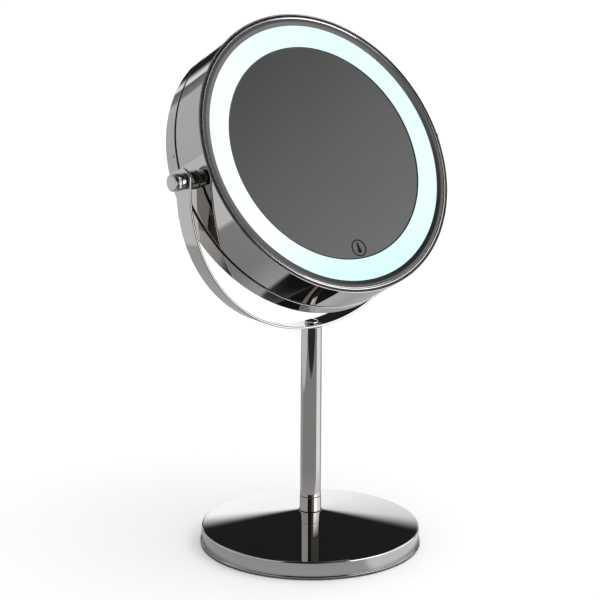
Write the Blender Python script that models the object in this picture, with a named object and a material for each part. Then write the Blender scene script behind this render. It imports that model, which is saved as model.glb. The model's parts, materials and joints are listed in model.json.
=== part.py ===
"""Countertop make-up mirror: a lit round head with a glass on each side, in a yoke on a weighted stand.

Metres, +Z up, origin at the centre of the base's underside. The pivot axis runs along X and the lit mirror
faces -Y, tilted back. Head pieces are drawn about the drum's own axis: local +Z leads out of the lit front,
local +X is the pivot axis and local +Y is the top of the mirror. Pivot pieces are drawn with local +Z leading
away from the drum. The drum is as deep as what it holds: its front follows from the pivot nuts and the bezel,
and its back from the battery cells and the rear mirror.
"""

import math

import bmesh
import bpy
from mathutils import Matrix, Vector

MM = 0.001

# Clearances
GAP = 0.3 * MM  # between pieces that touch, or that screw or press together
RUNNING_GAP = 0.08 * MM  # round the pivot studs in the yoke

# Overall sizes
PIVOT_HEIGHT = 232.1 * MM
HEAD_RADIUS = 85.5 * MM
HEAD_TILT = math.radians(30.8)
BASE_RADIUS = 65.0 * MM

# Base
PAD_THICKNESS = 1.5 * MM
PAD_INSET = 2.0 * MM
BASE_WALL = 1.0 * MM
BASE_LIFT = 0.5 * MM  # the rolled edge clears the table by this
BASE_LIP_OUT = 0.7 * MM
BASE_LIP_HEIGHT = 1.6 * MM
BASE_RIM_TOP = 10.8 * MM
BASE_RIM_ROUND = 1.2 * MM
BASE_CONE_TOP = 20.0 * MM
WEIGHT_SPACE = 0.5 * MM  # between the weight and the shell over it
BASE_BOLT_RADIUS = 3.0 * MM
BASE_BOLT_HEAD_RADIUS = 5.2 * MM
BASE_BOLT_HEAD_HEIGHT = 2.4 * MM
BASE_BOLT_REACH = 9.7 * MM  # into the post's insert
BASE_WASHER_RADIUS = 8.0 * MM
BASE_WASHER_THICKNESS = 1.2 * MM
BASE_WASHER_SPACE = 1.0 * MM  # round the washer in the weight's recess

# Post
POST_RADIUS = 6.2 * MM
POST_WALL = 0.9 * MM
COLLAR_STEP = 0.15 * MM  # collar radius over post radius
COLLAR_HEIGHT = 8.7 * MM
COLLAR_SPIGOT = 4.0 * MM
INSERT_LENGTH = 11.0 * MM

# Yoke
YOKE_THICKNESS = 1.5 * MM
YOKE_WIDTH = 13.0 * MM
YOKE_STRAIGHT = 4.5 * MM  # from the semicircle's centre up to the pivot axis
YOKE_END_RISE = 1.0 * MM  # the round ends' centre above the pivot axis
YOKE_END_ANGLE = math.radians(84.0)  # the round ends stop short of a point
YOKE_SCREW_RADIUS = 2.0 * MM
YOKE_SCREW_REACH = 9.6 * MM  # into the post's insert
YOKE_SCREW_HEAD_RADIUS = 4.1 * MM
YOKE_SCREW_HEAD_EDGE = 0.5 * MM
YOKE_SCREW_HEAD_DOME = 1.3 * MM
YOKE_SCREW_SOCKET_RADIUS = 1.4 * MM

# Pivots
STUD_RADIUS = 2.0 * MM
BUSH_RADIUS = 5.4 * MM
BUSH_LENGTH = 4.8 * MM
FRICTION_WASHER_RADIUS = 4.9 * MM
FRICTION_WASHER_THICKNESS = 0.8 * MM
SPRING_WASHER_RADIUS = 4.3 * MM
SPRING_WASHER_THICKNESS = 0.5 * MM
KNOB_RADIUS = 4.8 * MM
KNOB_FIRST_BAND = 2.2 * MM
KNOB_LINE_WIDTH = 0.5 * MM
KNOB_BAND = 2.0 * MM
KNOB_GROOVE_WIDTH = 1.4 * MM
KNOB_GROOVE_DEPTH = 1.5 * MM
KNOB_FACE_RADIUS = 4.0 * MM
KNOB_LENGTH = 7.0 * MM
KNOB_SKIN = 2.0 * MM  # solid end beyond the stud's blind hole
CAP_LENGTH = 1.8 * MM  # the right side has a low cap instead of a knob
CAP_SKIN = 0.6 * MM
NUT_RADIUS = 4.0 * MM
NUT_THICKNESS = 2.6 * MM

# Head shells
SHELL_WALL = 2.5 * MM
SHELL_LIP = 1.2 * MM  # thinner wall round the bezel
SHELL_ROUND = 0.5 * MM
SEAM_WIDTH = 1.4 * MM
SEAM_BEHIND_TRAY = 1.5 * MM
REAR_ROUND = 1.8 * MM
REAR_FLANGE = 1.6 * MM

# Light, glass and bezel
BEZEL_DEPTH = 9.0 * MM
BEZEL_BEAD_RISE = 0.8 * MM
BEZEL_BEAD_WIDTH = 3.6 * MM
BEZEL_SKIRT = 3.0 * MM
LIGHT_WIDTH = 12.8 * MM  # the part that shows
LIGHT_SET_BACK = 1.2 * MM  # light ring's face behind the drum's front edge
LIGHT_THICKNESS = 2.2 * MM
LIGHT_TUCK = 1.3 * MM  # how far the ring runs under the bezel
GLASS_RECESS = 0.5 * MM
GLASS_THICKNESS = 3.0 * MM

# Inner frame and electrics
FRAME_THICKNESS = 2.2 * MM
FRAME_WALL = 1.2 * MM
CHANNEL_DEPTH = 7.0 * MM  # of the light channel, behind the frame's back
CHANNEL_SPACE = 0.7 * MM  # between the light channel and the pivot nuts
LAMP_COUNT = 24
LAMP_WIDTH = 3.6 * MM
LAMP_HEIGHT = 0.7 * MM
LED_BOARD_THICKNESS = 1.2 * MM
TOUCH_FROM_EDGE = 6.7 * MM
TOUCH_RADIUS = 3.7 * MM
TOUCH_THICKNESS = 1.1 * MM
TOUCH_SPRING_RADIUS = 2.4 * MM
TOUCH_SPRING_WIRE = 0.25 * MM
CONTROL_WIDTH = 34.0 * MM
CONTROL_LENGTH = 16.0 * MM
CONTROL_THICKNESS = 1.2 * MM
CONTROL_BEHIND_FRAME = 2.0 * MM
CONTROL_POST_RADIUS = 2.0 * MM
CONTROL_POST_INSET = 4.0 * MM  # from the board's ends
CHIP_SIZE = 7.0 * MM
CHIP_HEIGHT = 1.4 * MM
CHIP_FROM_EDGE = 1.4 * MM

# Battery tray
CELL_COUNT = 4
CELL_RADIUS = 5.25 * MM
CELL_LENGTH = 44.5 * MM
CELL_NUB_RADIUS = 1.9 * MM
CELL_NUB_LENGTH = 1.0 * MM
CELL_SPACE = 0.6 * MM  # beside each cell
CELL_END_SPACE = 1.2 * MM  # at the plate end
CONTACT_SPRING_LENGTH = 4.2 * MM
CONTACT_SPRING_RADIUS = 3.0 * MM
CONTACT_SPRING_WIRE = 0.3 * MM
COIL_TURNS = 2.5
CONTACT_PLATE_WIDTH = 8.0 * MM
CONTACT_PLATE_THICKNESS = 0.5 * MM
TRAY_PLATE = 1.8 * MM
TRAY_WALL = 1.5 * MM
TRAY_BAY_LIFT = 6.0 * MM  # centre of the battery bay above the drum's centre
TRAY_BAY_SPACE = 3.8 * MM  # between the bay's floor and the inner frame
TRAY_SCREW_INSET = 10.3 * MM  # screw circle inside the glass radius
TRAY_SCREW_COUNT = 4
TRAY_SCREW_RADIUS = 1.2 * MM
TRAY_SCREW_HEAD_RADIUS = 2.5 * MM
TRAY_SCREW_HEAD_HEIGHT = 1.6 * MM
TRAY_SCREW_LENGTH = 9.0 * MM
BOSS_RADIUS = 3.5 * MM

# Bayonet ring and rear mirror
BAYONET_WALL = 1.5 * MM
BAYONET_BACK = 3.6 * MM  # spigot into the rear cover
BAYONET_SEAM_INSET = 0.6 * MM  # seam bottom below the drum's surface
BAYONET_LUG_COUNT = 3
BAYONET_LUG_DEPTH = 1.5 * MM
BAYONET_LUG_THICKNESS = 1.2 * MM
BAYONET_LUG_ANGLE = math.radians(8.0)
BAYONET_TURN = math.radians(15.0)
REAR_GLASS_THICKNESS = 2.2 * MM
REAR_GLASS_CURVE = 600.0 * MM  # radius of the magnifying curve
REAR_GLASS_TUCK = 2.8 * MM
REAR_SPACE = 3.0 * MM  # between the battery tray and the rear mirror's backing
BACKING_THICKNESS = 1.2 * MM
BACKING_RIM = 2.6 * MM

# Facets
OUTER_FACETS = 48
INNER_FACETS = 36
POST_FACETS = 24
SMALL_FACETS = 16
SCREW_FACETS = 12
NUT_FACETS = 6
YOKE_FACETS = 36
ROUND_STEPS = 3
SMOOTH_ANGLE = math.radians(35)

# Derived places, heights from the table
SHELL_BOTTOM = BASE_LIFT
WEIGHT_BOTTOM = PAD_THICKNESS + GAP
WEIGHT_TOP = BASE_RIM_TOP - BASE_WALL - WEIGHT_SPACE
BOLT_SEAT = WEIGHT_BOTTOM + BASE_BOLT_HEAD_HEIGHT + GAP
RECESS_TOP = BOLT_SEAT + BASE_WASHER_THICKNESS + GAP
BOLT_HOLE = BASE_BOLT_RADIUS + GAP
COLLAR_RADIUS = POST_RADIUS + COLLAR_STEP
COLLAR_BOTTOM = BASE_CONE_TOP + GAP
COLLAR_TOP = COLLAR_BOTTOM + COLLAR_HEIGHT
LOW_INSERT_BOTTOM = COLLAR_TOP + COLLAR_SPIGOT + GAP
POST_BOTTOM = COLLAR_TOP + GAP
POST_BORE = POST_RADIUS - POST_WALL
PLUG_RADIUS = POST_BORE - GAP
ARM_INNER = HEAD_RADIUS + BUSH_LENGTH + FRICTION_WASHER_THICKNESS + 3 * GAP
ARM_OUTER = ARM_INNER + YOKE_THICKNESS
YOKE_CENTRE_HEIGHT = PIVOT_HEIGHT - YOKE_STRAIGHT
YOKE_BOTTOM = YOKE_CENTRE_HEIGHT - ARM_OUTER
POST_TOP = YOKE_BOTTOM - GAP
TOP_INSERT_TOP = POST_TOP - GAP

# Derived radii from the drum's axis
LIP_INNER = HEAD_RADIUS - SHELL_LIP
WALL_INNER = HEAD_RADIUS - SHELL_WALL
NUT_INNER = WALL_INNER - GAP - NUT_THICKNESS
LIGHT_OUTER = NUT_INNER - CHANNEL_SPACE
BEZEL_INNER = LIGHT_OUTER - LIGHT_TUCK
LIGHT_INNER = BEZEL_INNER - LIGHT_WIDTH
GLASS_RADIUS = LIGHT_INNER - GAP
CHANNEL_INNER = LIGHT_INNER + GAP
CHANNEL_OUTER = LIGHT_OUTER
SPIGOT_OUTER = WALL_INNER - GAP
SPIGOT_INNER = SPIGOT_OUTER - BAYONET_WALL
TRAY_RADIUS = SPIGOT_INNER - GAP
BACKING_OUTER = SPIGOT_INNER - GAP
BACKING_INNER = BACKING_OUTER - BACKING_RIM
REAR_GLASS_RADIUS = BACKING_INNER - GAP
REAR_BEZEL_INNER = REAR_GLASS_RADIUS - REAR_GLASS_TUCK
SCREW_CIRCLE = GLASS_RADIUS - TRAY_SCREW_INSET

# Derived places along the drum's axis, positive in front of the pivot axis
SHELL_STEP = NUT_RADIUS
FLANGE_BACK = SHELL_STEP + GAP
FLANGE_FRONT = FLANGE_BACK + FRAME_WALL
BEZEL_BACK = FLANGE_FRONT + GAP
HEAD_FRONT = BEZEL_BACK + BEZEL_DEPTH
LIGHT_FRONT = HEAD_FRONT - LIGHT_SET_BACK
LIGHT_BACK = LIGHT_FRONT - LIGHT_THICKNESS
GLASS_FRONT = LIGHT_FRONT - GLASS_RECESS
GLASS_BACK = GLASS_FRONT - GLASS_THICKNESS
FRAME_FRONT = GLASS_BACK - GAP
FRAME_BACK = FRAME_FRONT - FRAME_THICKNESS
CHANNEL_TOP = LIGHT_BACK - GAP
CHANNEL_FLOOR = FRAME_BACK - CHANNEL_DEPTH
CONTROL_FRONT = FRAME_BACK - CONTROL_BEHIND_FRAME
BAY_FLOOR = FRAME_BACK - TRAY_BAY_SPACE - TRAY_WALL
TRAY_REAR = BAY_FLOOR - 2 * CELL_RADIUS - 2 * GAP
TRAY_FRONT = TRAY_REAR + TRAY_PLATE
SEAM_FRONT = TRAY_REAR - SEAM_BEHIND_TRAY
SEAM_REAR = SEAM_FRONT - SEAM_WIDTH
DISH_DEPTH = REAR_GLASS_CURVE - math.sqrt(REAR_GLASS_CURVE**2 - BACKING_INNER**2)
BACKING_FRONT = TRAY_REAR - REAR_SPACE - DISH_DEPTH
BACKING_SEAT = BACKING_FRONT - BACKING_THICKNESS
REAR_GLASS_RIM = BACKING_SEAT - GAP - REAR_GLASS_THICKNESS
HEAD_REAR = REAR_GLASS_RIM - GAP - REAR_FLANGE

# Derived places across the drum
TOUCH_PLACE = (0.0, TOUCH_FROM_EDGE - GLASS_RADIUS)
CONTROL_LOW = TOUCH_PLACE[1] - TOUCH_SPRING_RADIUS
BAY_WIDTH = CELL_COUNT * 2 * CELL_RADIUS + (CELL_COUNT + 1) * CELL_SPACE
BAY_LENGTH = CELL_LENGTH + CONTACT_SPRING_LENGTH + CELL_END_SPACE


def clear_scene():
    for thing in list(bpy.data.objects):
        bpy.data.objects.remove(thing, do_unlink=True)


def make_material(name, colour, roughness, metallic, emission=0.0):
    material = bpy.data.materials.new(name)
    material.use_nodes = True
    shader = material.node_tree.nodes["Principled BSDF"]
    shader.inputs["Base Color"].default_value = (*colour, 1.0)
    shader.inputs["Roughness"].default_value = roughness
    shader.inputs["Metallic"].default_value = metallic
    shader.inputs["Emission Color"].default_value = (*colour, 1.0)
    shader.inputs["Emission Strength"].default_value = emission
    material.diffuse_color = (*colour, 1.0)
    return material


def make_empty(name, matrix):
    empty = bpy.data.objects.new(name, None)
    bpy.context.scene.collection.objects.link(empty)
    empty.matrix_world = matrix
    return empty


def make_object(name, bm, material, parent):
    """A mesh object of bm, with its faces pointing out and shaded smooth."""
    bmesh.ops.recalc_face_normals(bm, faces=bm.faces)
    mesh = bpy.data.meshes.new(name)
    bm.to_mesh(mesh)
    bm.free()
    mesh.shade_smooth()
    mesh.set_sharp_from_angle(angle=SMOOTH_ANGLE)
    thing = bpy.data.objects.new(name, mesh)
    if material:
        mesh.materials.append(material)
    bpy.context.scene.collection.objects.link(thing)
    thing.parent = parent
    return thing


def spin_outline(bm, outline, facets, place=(0.0, 0.0)):
    """Turns an outline of (radius, height) points about the Z axis through place."""
    centre = Vector((*place, 0.0))
    corners = [bm.verts.new(centre + Vector((radius, 0.0, height))) for radius, height in outline]
    edges = [bm.edges.new(pair) for pair in zip(corners, corners[1:])]
    if outline[0][0] > 0.0:
        edges.append(bm.edges.new((corners[-1], corners[0])))
    whole_turn = {"axis": (0.0, 0.0, 1.0), "angle": math.tau, "steps": facets, "use_merge": True}
    bmesh.ops.spin(bm, geom=corners + edges, cent=centre, **whole_turn)
    bmesh.ops.remove_doubles(bm, verts=bm.verts, dist=0.001 * MM)


def turned(name, outline, facets, material, parent=None, places=((0.0, 0.0),)):
    bm = bmesh.new()
    for place in places:
        spin_outline(bm, outline, facets, place)
    return make_object(name, bm, material, parent)


def box(name, low, high, material, parent=None):
    bm = bmesh.new()
    size = [top - bottom for bottom, top in zip(low, high)]
    middle = [(top + bottom) / 2 for bottom, top in zip(low, high)]
    bmesh.ops.create_cube(bm, size=1.0, matrix=Matrix.Translation(middle) @ Matrix.Diagonal((*size, 1.0)))
    return make_object(name, bm, material, parent)


def use_helper(target, helper, operation):
    """Cuts a helper shape from a piece, or joins it on."""
    helper.hide_render = True
    helper.display_type = "WIRE"
    modifier = target.modifiers.new(helper.name, "BOOLEAN")
    modifier.object = helper
    modifier.operation = operation
    modifier.solver = "EXACT"


def arc(centre, radius, start, end, steps):
    """Points of an arc in the outline's plane, from one angle to another in degrees."""
    points = []
    for step in range(steps + 1):
        angle = math.radians(start + (end - start) * step / steps)
        points.append((centre[0] + radius * math.cos(angle), centre[1] + radius * math.sin(angle)))
    return points


def tube_outline(inner, outer, bottom, top):
    return [(inner, bottom), (outer, bottom), (outer, top), (inner, top)]


def disc_outline(radius, bottom, top):
    return [(0.0, bottom), (radius, bottom), (radius, top), (0.0, top)]


def coil(name, radius, wire, bottom, top, material, matrix, parent):
    """A compression spring of round wire."""
    points_per_turn = 8
    count = int(COIL_TURNS * points_per_turn) + 1
    curve = bpy.data.curves.new(name, "CURVE")
    curve.dimensions = "3D"
    curve.bevel_depth = wire
    curve.bevel_resolution = 0
    curve.use_fill_caps = True
    spline = curve.splines.new("POLY")
    spline.points.add(count - 1)
    for index, point in enumerate(spline.points):
        angle = math.tau * index / points_per_turn
        height = bottom + wire + (top - bottom - 2 * wire) * index / (count - 1)
        point.co = (radius * math.cos(angle), radius * math.sin(angle), height, 1.0)
    curve.materials.append(material)
    thing = bpy.data.objects.new(name, curve)
    bpy.context.scene.collection.objects.link(thing)
    thing.parent = parent
    thing.matrix_local = matrix
    return thing


def build_base(looks):
    pad_radius = BASE_RADIUS - PAD_INSET
    turned("base_pad", disc_outline(pad_radius, 0.0, PAD_THICKNESS), OUTER_FACETS, looks["rubber"])

    cone_inner = COLLAR_RADIUS + BASE_WALL
    lip = BASE_RADIUS + BASE_LIP_OUT
    inner = BASE_RADIUS - BASE_WALL
    lip_top = SHELL_BOTTOM + BASE_LIP_HEIGHT
    round_centre = (BASE_RADIUS - BASE_RIM_ROUND, BASE_RIM_TOP - BASE_RIM_ROUND)
    shell = [(inner, SHELL_BOTTOM), (lip, SHELL_BOTTOM), (lip, lip_top - BASE_LIP_OUT / 2)]
    shell += [(BASE_RADIUS, lip_top)]
    shell += arc(round_centre, BASE_RIM_ROUND, 0, 90, ROUND_STEPS)
    shell += [(cone_inner, BASE_CONE_TOP), (BOLT_HOLE, BASE_CONE_TOP)]
    shell += [(BOLT_HOLE, BASE_CONE_TOP - BASE_WALL), (cone_inner, BASE_CONE_TOP - BASE_WALL)]
    shell += [(inner, BASE_RIM_TOP - BASE_WALL)]
    turned("base_shell", shell, OUTER_FACETS, looks["chrome"])

    boss_radius = cone_inner - GAP
    boss_top = BASE_CONE_TOP - BASE_WALL - GAP
    weight_radius = inner - 2 * GAP
    recess_radius = BASE_WASHER_RADIUS + BASE_WASHER_SPACE
    weight = [(BOLT_HOLE, boss_top), (BOLT_HOLE, RECESS_TOP), (recess_radius, RECESS_TOP)]
    weight += [(recess_radius, WEIGHT_BOTTOM), (weight_radius, WEIGHT_BOTTOM), (weight_radius, WEIGHT_TOP)]
    weight += [(boss_radius, WEIGHT_TOP), (boss_radius, boss_top)]
    turned("base_weight", weight, INNER_FACETS, looks["iron"])

    washer = tube_outline(BOLT_HOLE, BASE_WASHER_RADIUS, BOLT_SEAT, BOLT_SEAT + BASE_WASHER_THICKNESS)
    turned("base_washer", washer, SMALL_FACETS, looks["zinc"])

    head_top = BOLT_SEAT - GAP
    bolt_top = LOW_INSERT_BOTTOM + BASE_BOLT_REACH
    bolt = [(0.0, WEIGHT_BOTTOM), (BASE_BOLT_HEAD_RADIUS, WEIGHT_BOTTOM), (BASE_BOLT_HEAD_RADIUS, head_top)]
    bolt += [(BASE_BOLT_RADIUS, head_top), (BASE_BOLT_RADIUS, bolt_top), (0.0, bolt_top)]
    turned("base_bolt", bolt, SCREW_FACETS, looks["zinc"])


def build_post(looks):
    spigot_top = COLLAR_TOP + COLLAR_SPIGOT
    collar = [(BOLT_HOLE, COLLAR_BOTTOM), (COLLAR_RADIUS, COLLAR_BOTTOM), (COLLAR_RADIUS, COLLAR_TOP)]
    collar += [(PLUG_RADIUS, COLLAR_TOP), (PLUG_RADIUS, spigot_top), (BOLT_HOLE, spigot_top)]
    turned("base_collar", collar, POST_FACETS, looks["chrome"])

    tube = tube_outline(POST_BORE, POST_RADIUS, POST_BOTTOM, POST_TOP)
    turned("post_tube", tube, POST_FACETS, looks["chrome"])

    low_plug = tube_outline(BOLT_HOLE, PLUG_RADIUS, LOW_INSERT_BOTTOM, LOW_INSERT_BOTTOM + INSERT_LENGTH)
    turned("post_bottom_insert", low_plug, SMALL_FACETS, looks["zinc"])

    screw_hole = YOKE_SCREW_RADIUS + GAP
    top_plug = tube_outline(screw_hole, PLUG_RADIUS, TOP_INSERT_TOP - INSERT_LENGTH, TOP_INSERT_TOP)
    turned("post_top_insert", top_plug, SMALL_FACETS, looks["zinc"])


def yoke_stations():
    """(outer point, inner point, half width) along the strip, from the left round end to the right one."""
    half = YOKE_WIDTH / 2
    round_steps = 6
    left = []
    end_height = PIVOT_HEIGHT + YOKE_END_RISE
    for step in range(round_steps):
        angle = YOKE_END_ANGLE * (1 - step / round_steps)
        height = end_height + half * math.sin(angle)
        left.append((Vector((-ARM_OUTER, height)), Vector((-ARM_INNER, height)), half * math.cos(angle)))
    left.append((Vector((-ARM_OUTER, end_height)), Vector((-ARM_INNER, end_height)), half))
    centre = Vector((0.0, YOKE_CENTRE_HEIGHT))
    bend = []
    for step in range(YOKE_FACETS + 1):
        angle = math.pi * (1 + step / YOKE_FACETS)
        spoke = Vector((math.cos(angle), math.sin(angle)))
        bend.append((centre + spoke * ARM_OUTER, centre + spoke * ARM_INNER, half))
    right = []
    for outer, inner, width in reversed(left):
        right.append((Vector((-outer.x, outer.y)), Vector((-inner.x, inner.y)), width))
    return left + bend + right


def build_yoke(looks):
    bm = bmesh.new()
    rings = []
    for outer, inner, half in yoke_stations():
        corners = [(outer, -half), (outer, half), (inner, half), (inner, -half)]
        rings.append([bm.verts.new((point.x, depth, point.y)) for point, depth in corners])
    for first, second in zip(rings, rings[1:]):
        for side in range(4):
            after = (side + 1) % 4
            bm.faces.new((first[side], first[after], second[after], second[side]))
    bm.faces.new(rings[0])
    bm.faces.new(rings[-1])
    yoke = make_object("yoke", bm, looks["chrome"], None)

    reach = ARM_OUTER + YOKE_THICKNESS
    stud_hole = STUD_RADIUS + RUNNING_GAP
    bores = turned("yoke_stud_bores", disc_outline(stud_hole, -reach, reach), POST_FACETS, None)
    bores.location = (0.0, 0.0, PIVOT_HEIGHT)
    bores.rotation_euler = (0.0, math.radians(90), 0.0)
    use_helper(yoke, bores, "DIFFERENCE")
    low = YOKE_BOTTOM - YOKE_THICKNESS
    high = YOKE_BOTTOM + 2 * YOKE_THICKNESS
    screw_hole = YOKE_SCREW_RADIUS + GAP
    screw_bore = turned("yoke_screw_bore", disc_outline(screw_hole, low, high), SMALL_FACETS, None)
    use_helper(yoke, screw_bore, "DIFFERENCE")


def build_yoke_screw(looks):
    """Domed socket screw that clamps the yoke on the post."""
    seat = YOKE_BOTTOM + YOKE_THICKNESS + GAP
    tip = TOP_INSERT_TOP - YOKE_SCREW_REACH
    edge_top = seat + YOKE_SCREW_HEAD_EDGE
    rim = edge_top + YOKE_SCREW_HEAD_DOME
    outline = [(0.0, tip), (YOKE_SCREW_RADIUS, tip), (YOKE_SCREW_RADIUS, seat)]
    outline += [(YOKE_SCREW_HEAD_RADIUS, seat)]
    for step in range(ROUND_STEPS):
        angle = math.radians(90) * step / ROUND_STEPS
        radius = YOKE_SCREW_HEAD_RADIUS * math.cos(angle)
        outline.append((radius, edge_top + YOKE_SCREW_HEAD_DOME * math.sin(angle)))
    outline += [(YOKE_SCREW_SOCKET_RADIUS, rim), (YOKE_SCREW_SOCKET_RADIUS, edge_top), (0.0, edge_top)]
    turned("yoke_screw", outline, SMALL_FACETS, looks["chrome"])


def knob_bands(start):
    """A narrow groove and a wide one in the knob, from the end next to the yoke."""
    groove = KNOB_RADIUS - KNOB_GROOVE_DEPTH
    corners = []
    height = start + KNOB_FIRST_BAND
    for width in (KNOB_LINE_WIDTH, KNOB_GROOVE_WIDTH):
        corners += [(KNOB_RADIUS, height), (groove, height)]
        corners += [(groove, height + width), (KNOB_RADIUS, height + width)]
        height += width + KNOB_BAND
    return corners


def build_pivot(side, pivot, looks):
    """One side's stud and what is threaded on it, with heights measured outwards from the drum's axis."""
    bore = STUD_RADIUS + GAP
    nut = tube_outline(bore, NUT_RADIUS, NUT_INNER, NUT_INNER + NUT_THICKNESS)
    turned("pivot_nut_" + side, nut, NUT_FACETS, looks["zinc"], pivot)

    bush_inner = HEAD_RADIUS + GAP
    bush_outer = bush_inner + BUSH_LENGTH
    bush = tube_outline(bore, BUSH_RADIUS, bush_inner, bush_outer)
    turned("pivot_bush_" + side, bush, SMALL_FACETS, looks["chrome"], pivot)

    washer_inner = bush_outer + GAP
    washer_outer = washer_inner + FRICTION_WASHER_THICKNESS
    washer = tube_outline(bore, FRICTION_WASHER_RADIUS, washer_inner, washer_outer)
    turned("friction_washer_" + side, washer, SMALL_FACETS, looks["black_plastic"], pivot)

    spring_inner = ARM_OUTER + GAP
    spring_outer = spring_inner + SPRING_WASHER_THICKNESS
    spring = tube_outline(bore, SPRING_WASHER_RADIUS, spring_inner, spring_outer)
    turned("spring_washer_" + side, spring, SMALL_FACETS, looks["zinc"], pivot)

    knob_inner = spring_outer + GAP
    if side == "left":
        knob_outer = knob_inner + KNOB_LENGTH
        bore_end = knob_outer - KNOB_SKIN
        bands = knob_bands(knob_inner)
    else:
        knob_outer = knob_inner + CAP_LENGTH
        bore_end = knob_outer - CAP_SKIN
        bands = []
    chamfer = (KNOB_RADIUS - KNOB_FACE_RADIUS) / 2
    knob = [(0.0, bore_end), (bore, bore_end), (bore, knob_inner), (KNOB_RADIUS, knob_inner)] + bands
    knob += [(KNOB_RADIUS, knob_outer - chamfer), (KNOB_FACE_RADIUS, knob_outer), (0.0, knob_outer)]
    turned("pivot_knob_" + side, knob, SMALL_FACETS, looks["chrome"], pivot)

    stud = disc_outline(STUD_RADIUS, NUT_INNER, bore_end - GAP)
    turned("pivot_stud_" + side, stud, SMALL_FACETS, looks["zinc"], pivot)


def build_head_shell(head, looks):
    outline = [(WALL_INNER, SEAM_FRONT), (HEAD_RADIUS, SEAM_FRONT)]
    outline += arc((HEAD_RADIUS - SHELL_ROUND, HEAD_FRONT - SHELL_ROUND), SHELL_ROUND, 0, 90, ROUND_STEPS)
    outline += [(LIP_INNER, HEAD_FRONT), (LIP_INNER, SHELL_STEP), (WALL_INNER, SHELL_STEP)]
    shell = turned("head_shell", outline, OUTER_FACETS, looks["plated_shell"], head)
    reach = HEAD_RADIUS + SHELL_WALL
    bore = disc_outline(STUD_RADIUS + GAP, -reach, reach)
    bores = turned("shell_stud_bores", bore, SMALL_FACETS, None, head)
    bores.rotation_euler = (0.0, math.radians(90), 0.0)
    use_helper(shell, bores, "DIFFERENCE")


def build_bezel(head, looks):
    """Bright ring with a rounded bead outside and a slope down to the light inside."""
    outer = LIP_INNER - GAP
    lip_back = LIGHT_FRONT + GAP
    skirt_inner = outer - BEZEL_SKIRT
    outline = [(skirt_inner, BEZEL_BACK), (outer, BEZEL_BACK)]
    bead_steps = 4
    for step in range(bead_steps + 1):
        share = step / bead_steps
        radius = outer - BEZEL_BEAD_WIDTH * share
        outline.append((radius, HEAD_FRONT + BEZEL_BEAD_RISE * math.sin(math.pi * share)))
    outline += [(BEZEL_INNER, lip_back + GAP), (BEZEL_INNER, lip_back), (skirt_inner, lip_back)]
    turned("front_bezel", outline, OUTER_FACETS, looks["plated_shell"], head)


def build_front_optics(head, looks):
    ring = tube_outline(LIGHT_INNER, LIGHT_OUTER, LIGHT_BACK, LIGHT_FRONT)
    turned("light_ring", ring, OUTER_FACETS, looks["diffuser"], head)
    glass = disc_outline(GLASS_RADIUS, GLASS_BACK, GLASS_FRONT)
    turned("front_mirror", glass, OUTER_FACETS, looks["mirror_glass"], head)


def screw_places():
    places = []
    for index in range(TRAY_SCREW_COUNT):
        angle = math.tau * (index + 0.5) / TRAY_SCREW_COUNT
        places.append((SCREW_CIRCLE * math.cos(angle), SCREW_CIRCLE * math.sin(angle)))
    return places


def build_inner_frame(head, looks):
    """White moulding: mirror seat in the middle, light channel round it, bosses and board posts behind."""
    groove_floor = CHANNEL_FLOOR + FRAME_WALL
    inner_wall = CHANNEL_INNER + FRAME_WALL
    outer_wall = CHANNEL_OUTER - FRAME_WALL
    outline = [(0.0, FRAME_BACK), (CHANNEL_INNER, FRAME_BACK), (CHANNEL_INNER, CHANNEL_FLOOR)]
    outline += [(CHANNEL_OUTER, CHANNEL_FLOOR), (CHANNEL_OUTER, FLANGE_BACK), (LIP_INNER - GAP, FLANGE_BACK)]
    outline += [(LIP_INNER - GAP, FLANGE_FRONT), (CHANNEL_OUTER, FLANGE_FRONT), (CHANNEL_OUTER, CHANNEL_TOP)]
    outline += [(outer_wall, CHANNEL_TOP), (outer_wall, groove_floor), (inner_wall, groove_floor)]
    outline += [(inner_wall, CHANNEL_TOP), (CHANNEL_INNER, CHANNEL_TOP), (CHANNEL_INNER, FRAME_FRONT)]
    outline += [(0.0, FRAME_FRONT)]
    frame = turned("inner_frame", outline, INNER_FACETS, looks["white_plastic"], head)
    bore = TRAY_SCREW_RADIUS + GAP
    boss = tube_outline(bore, BOSS_RADIUS, TRAY_FRONT + GAP, FRAME_BACK + FRAME_THICKNESS / 2)
    use_helper(frame, turned("frame_bosses", boss, SCREW_FACETS, None, head, screw_places()), "UNION")
    post_across = CONTROL_WIDTH / 2 - CONTROL_POST_INSET
    post_up = CONTROL_LOW + CONTROL_LENGTH / 2
    post_places = ((-post_across, post_up), (post_across, post_up))
    post = disc_outline(CONTROL_POST_RADIUS, CONTROL_FRONT + GAP, FRAME_BACK + FRAME_THICKNESS / 2)
    use_helper(frame, turned("board_posts", post, SCREW_FACETS, None, head, post_places), "UNION")
    hole = disc_outline(TOUCH_RADIUS + GAP, FRAME_BACK - FRAME_THICKNESS, FRAME_FRONT + FRAME_THICKNESS)
    use_helper(frame, turned("touch_hole", hole, SMALL_FACETS, None, head, (TOUCH_PLACE,)), "DIFFERENCE")


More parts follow.
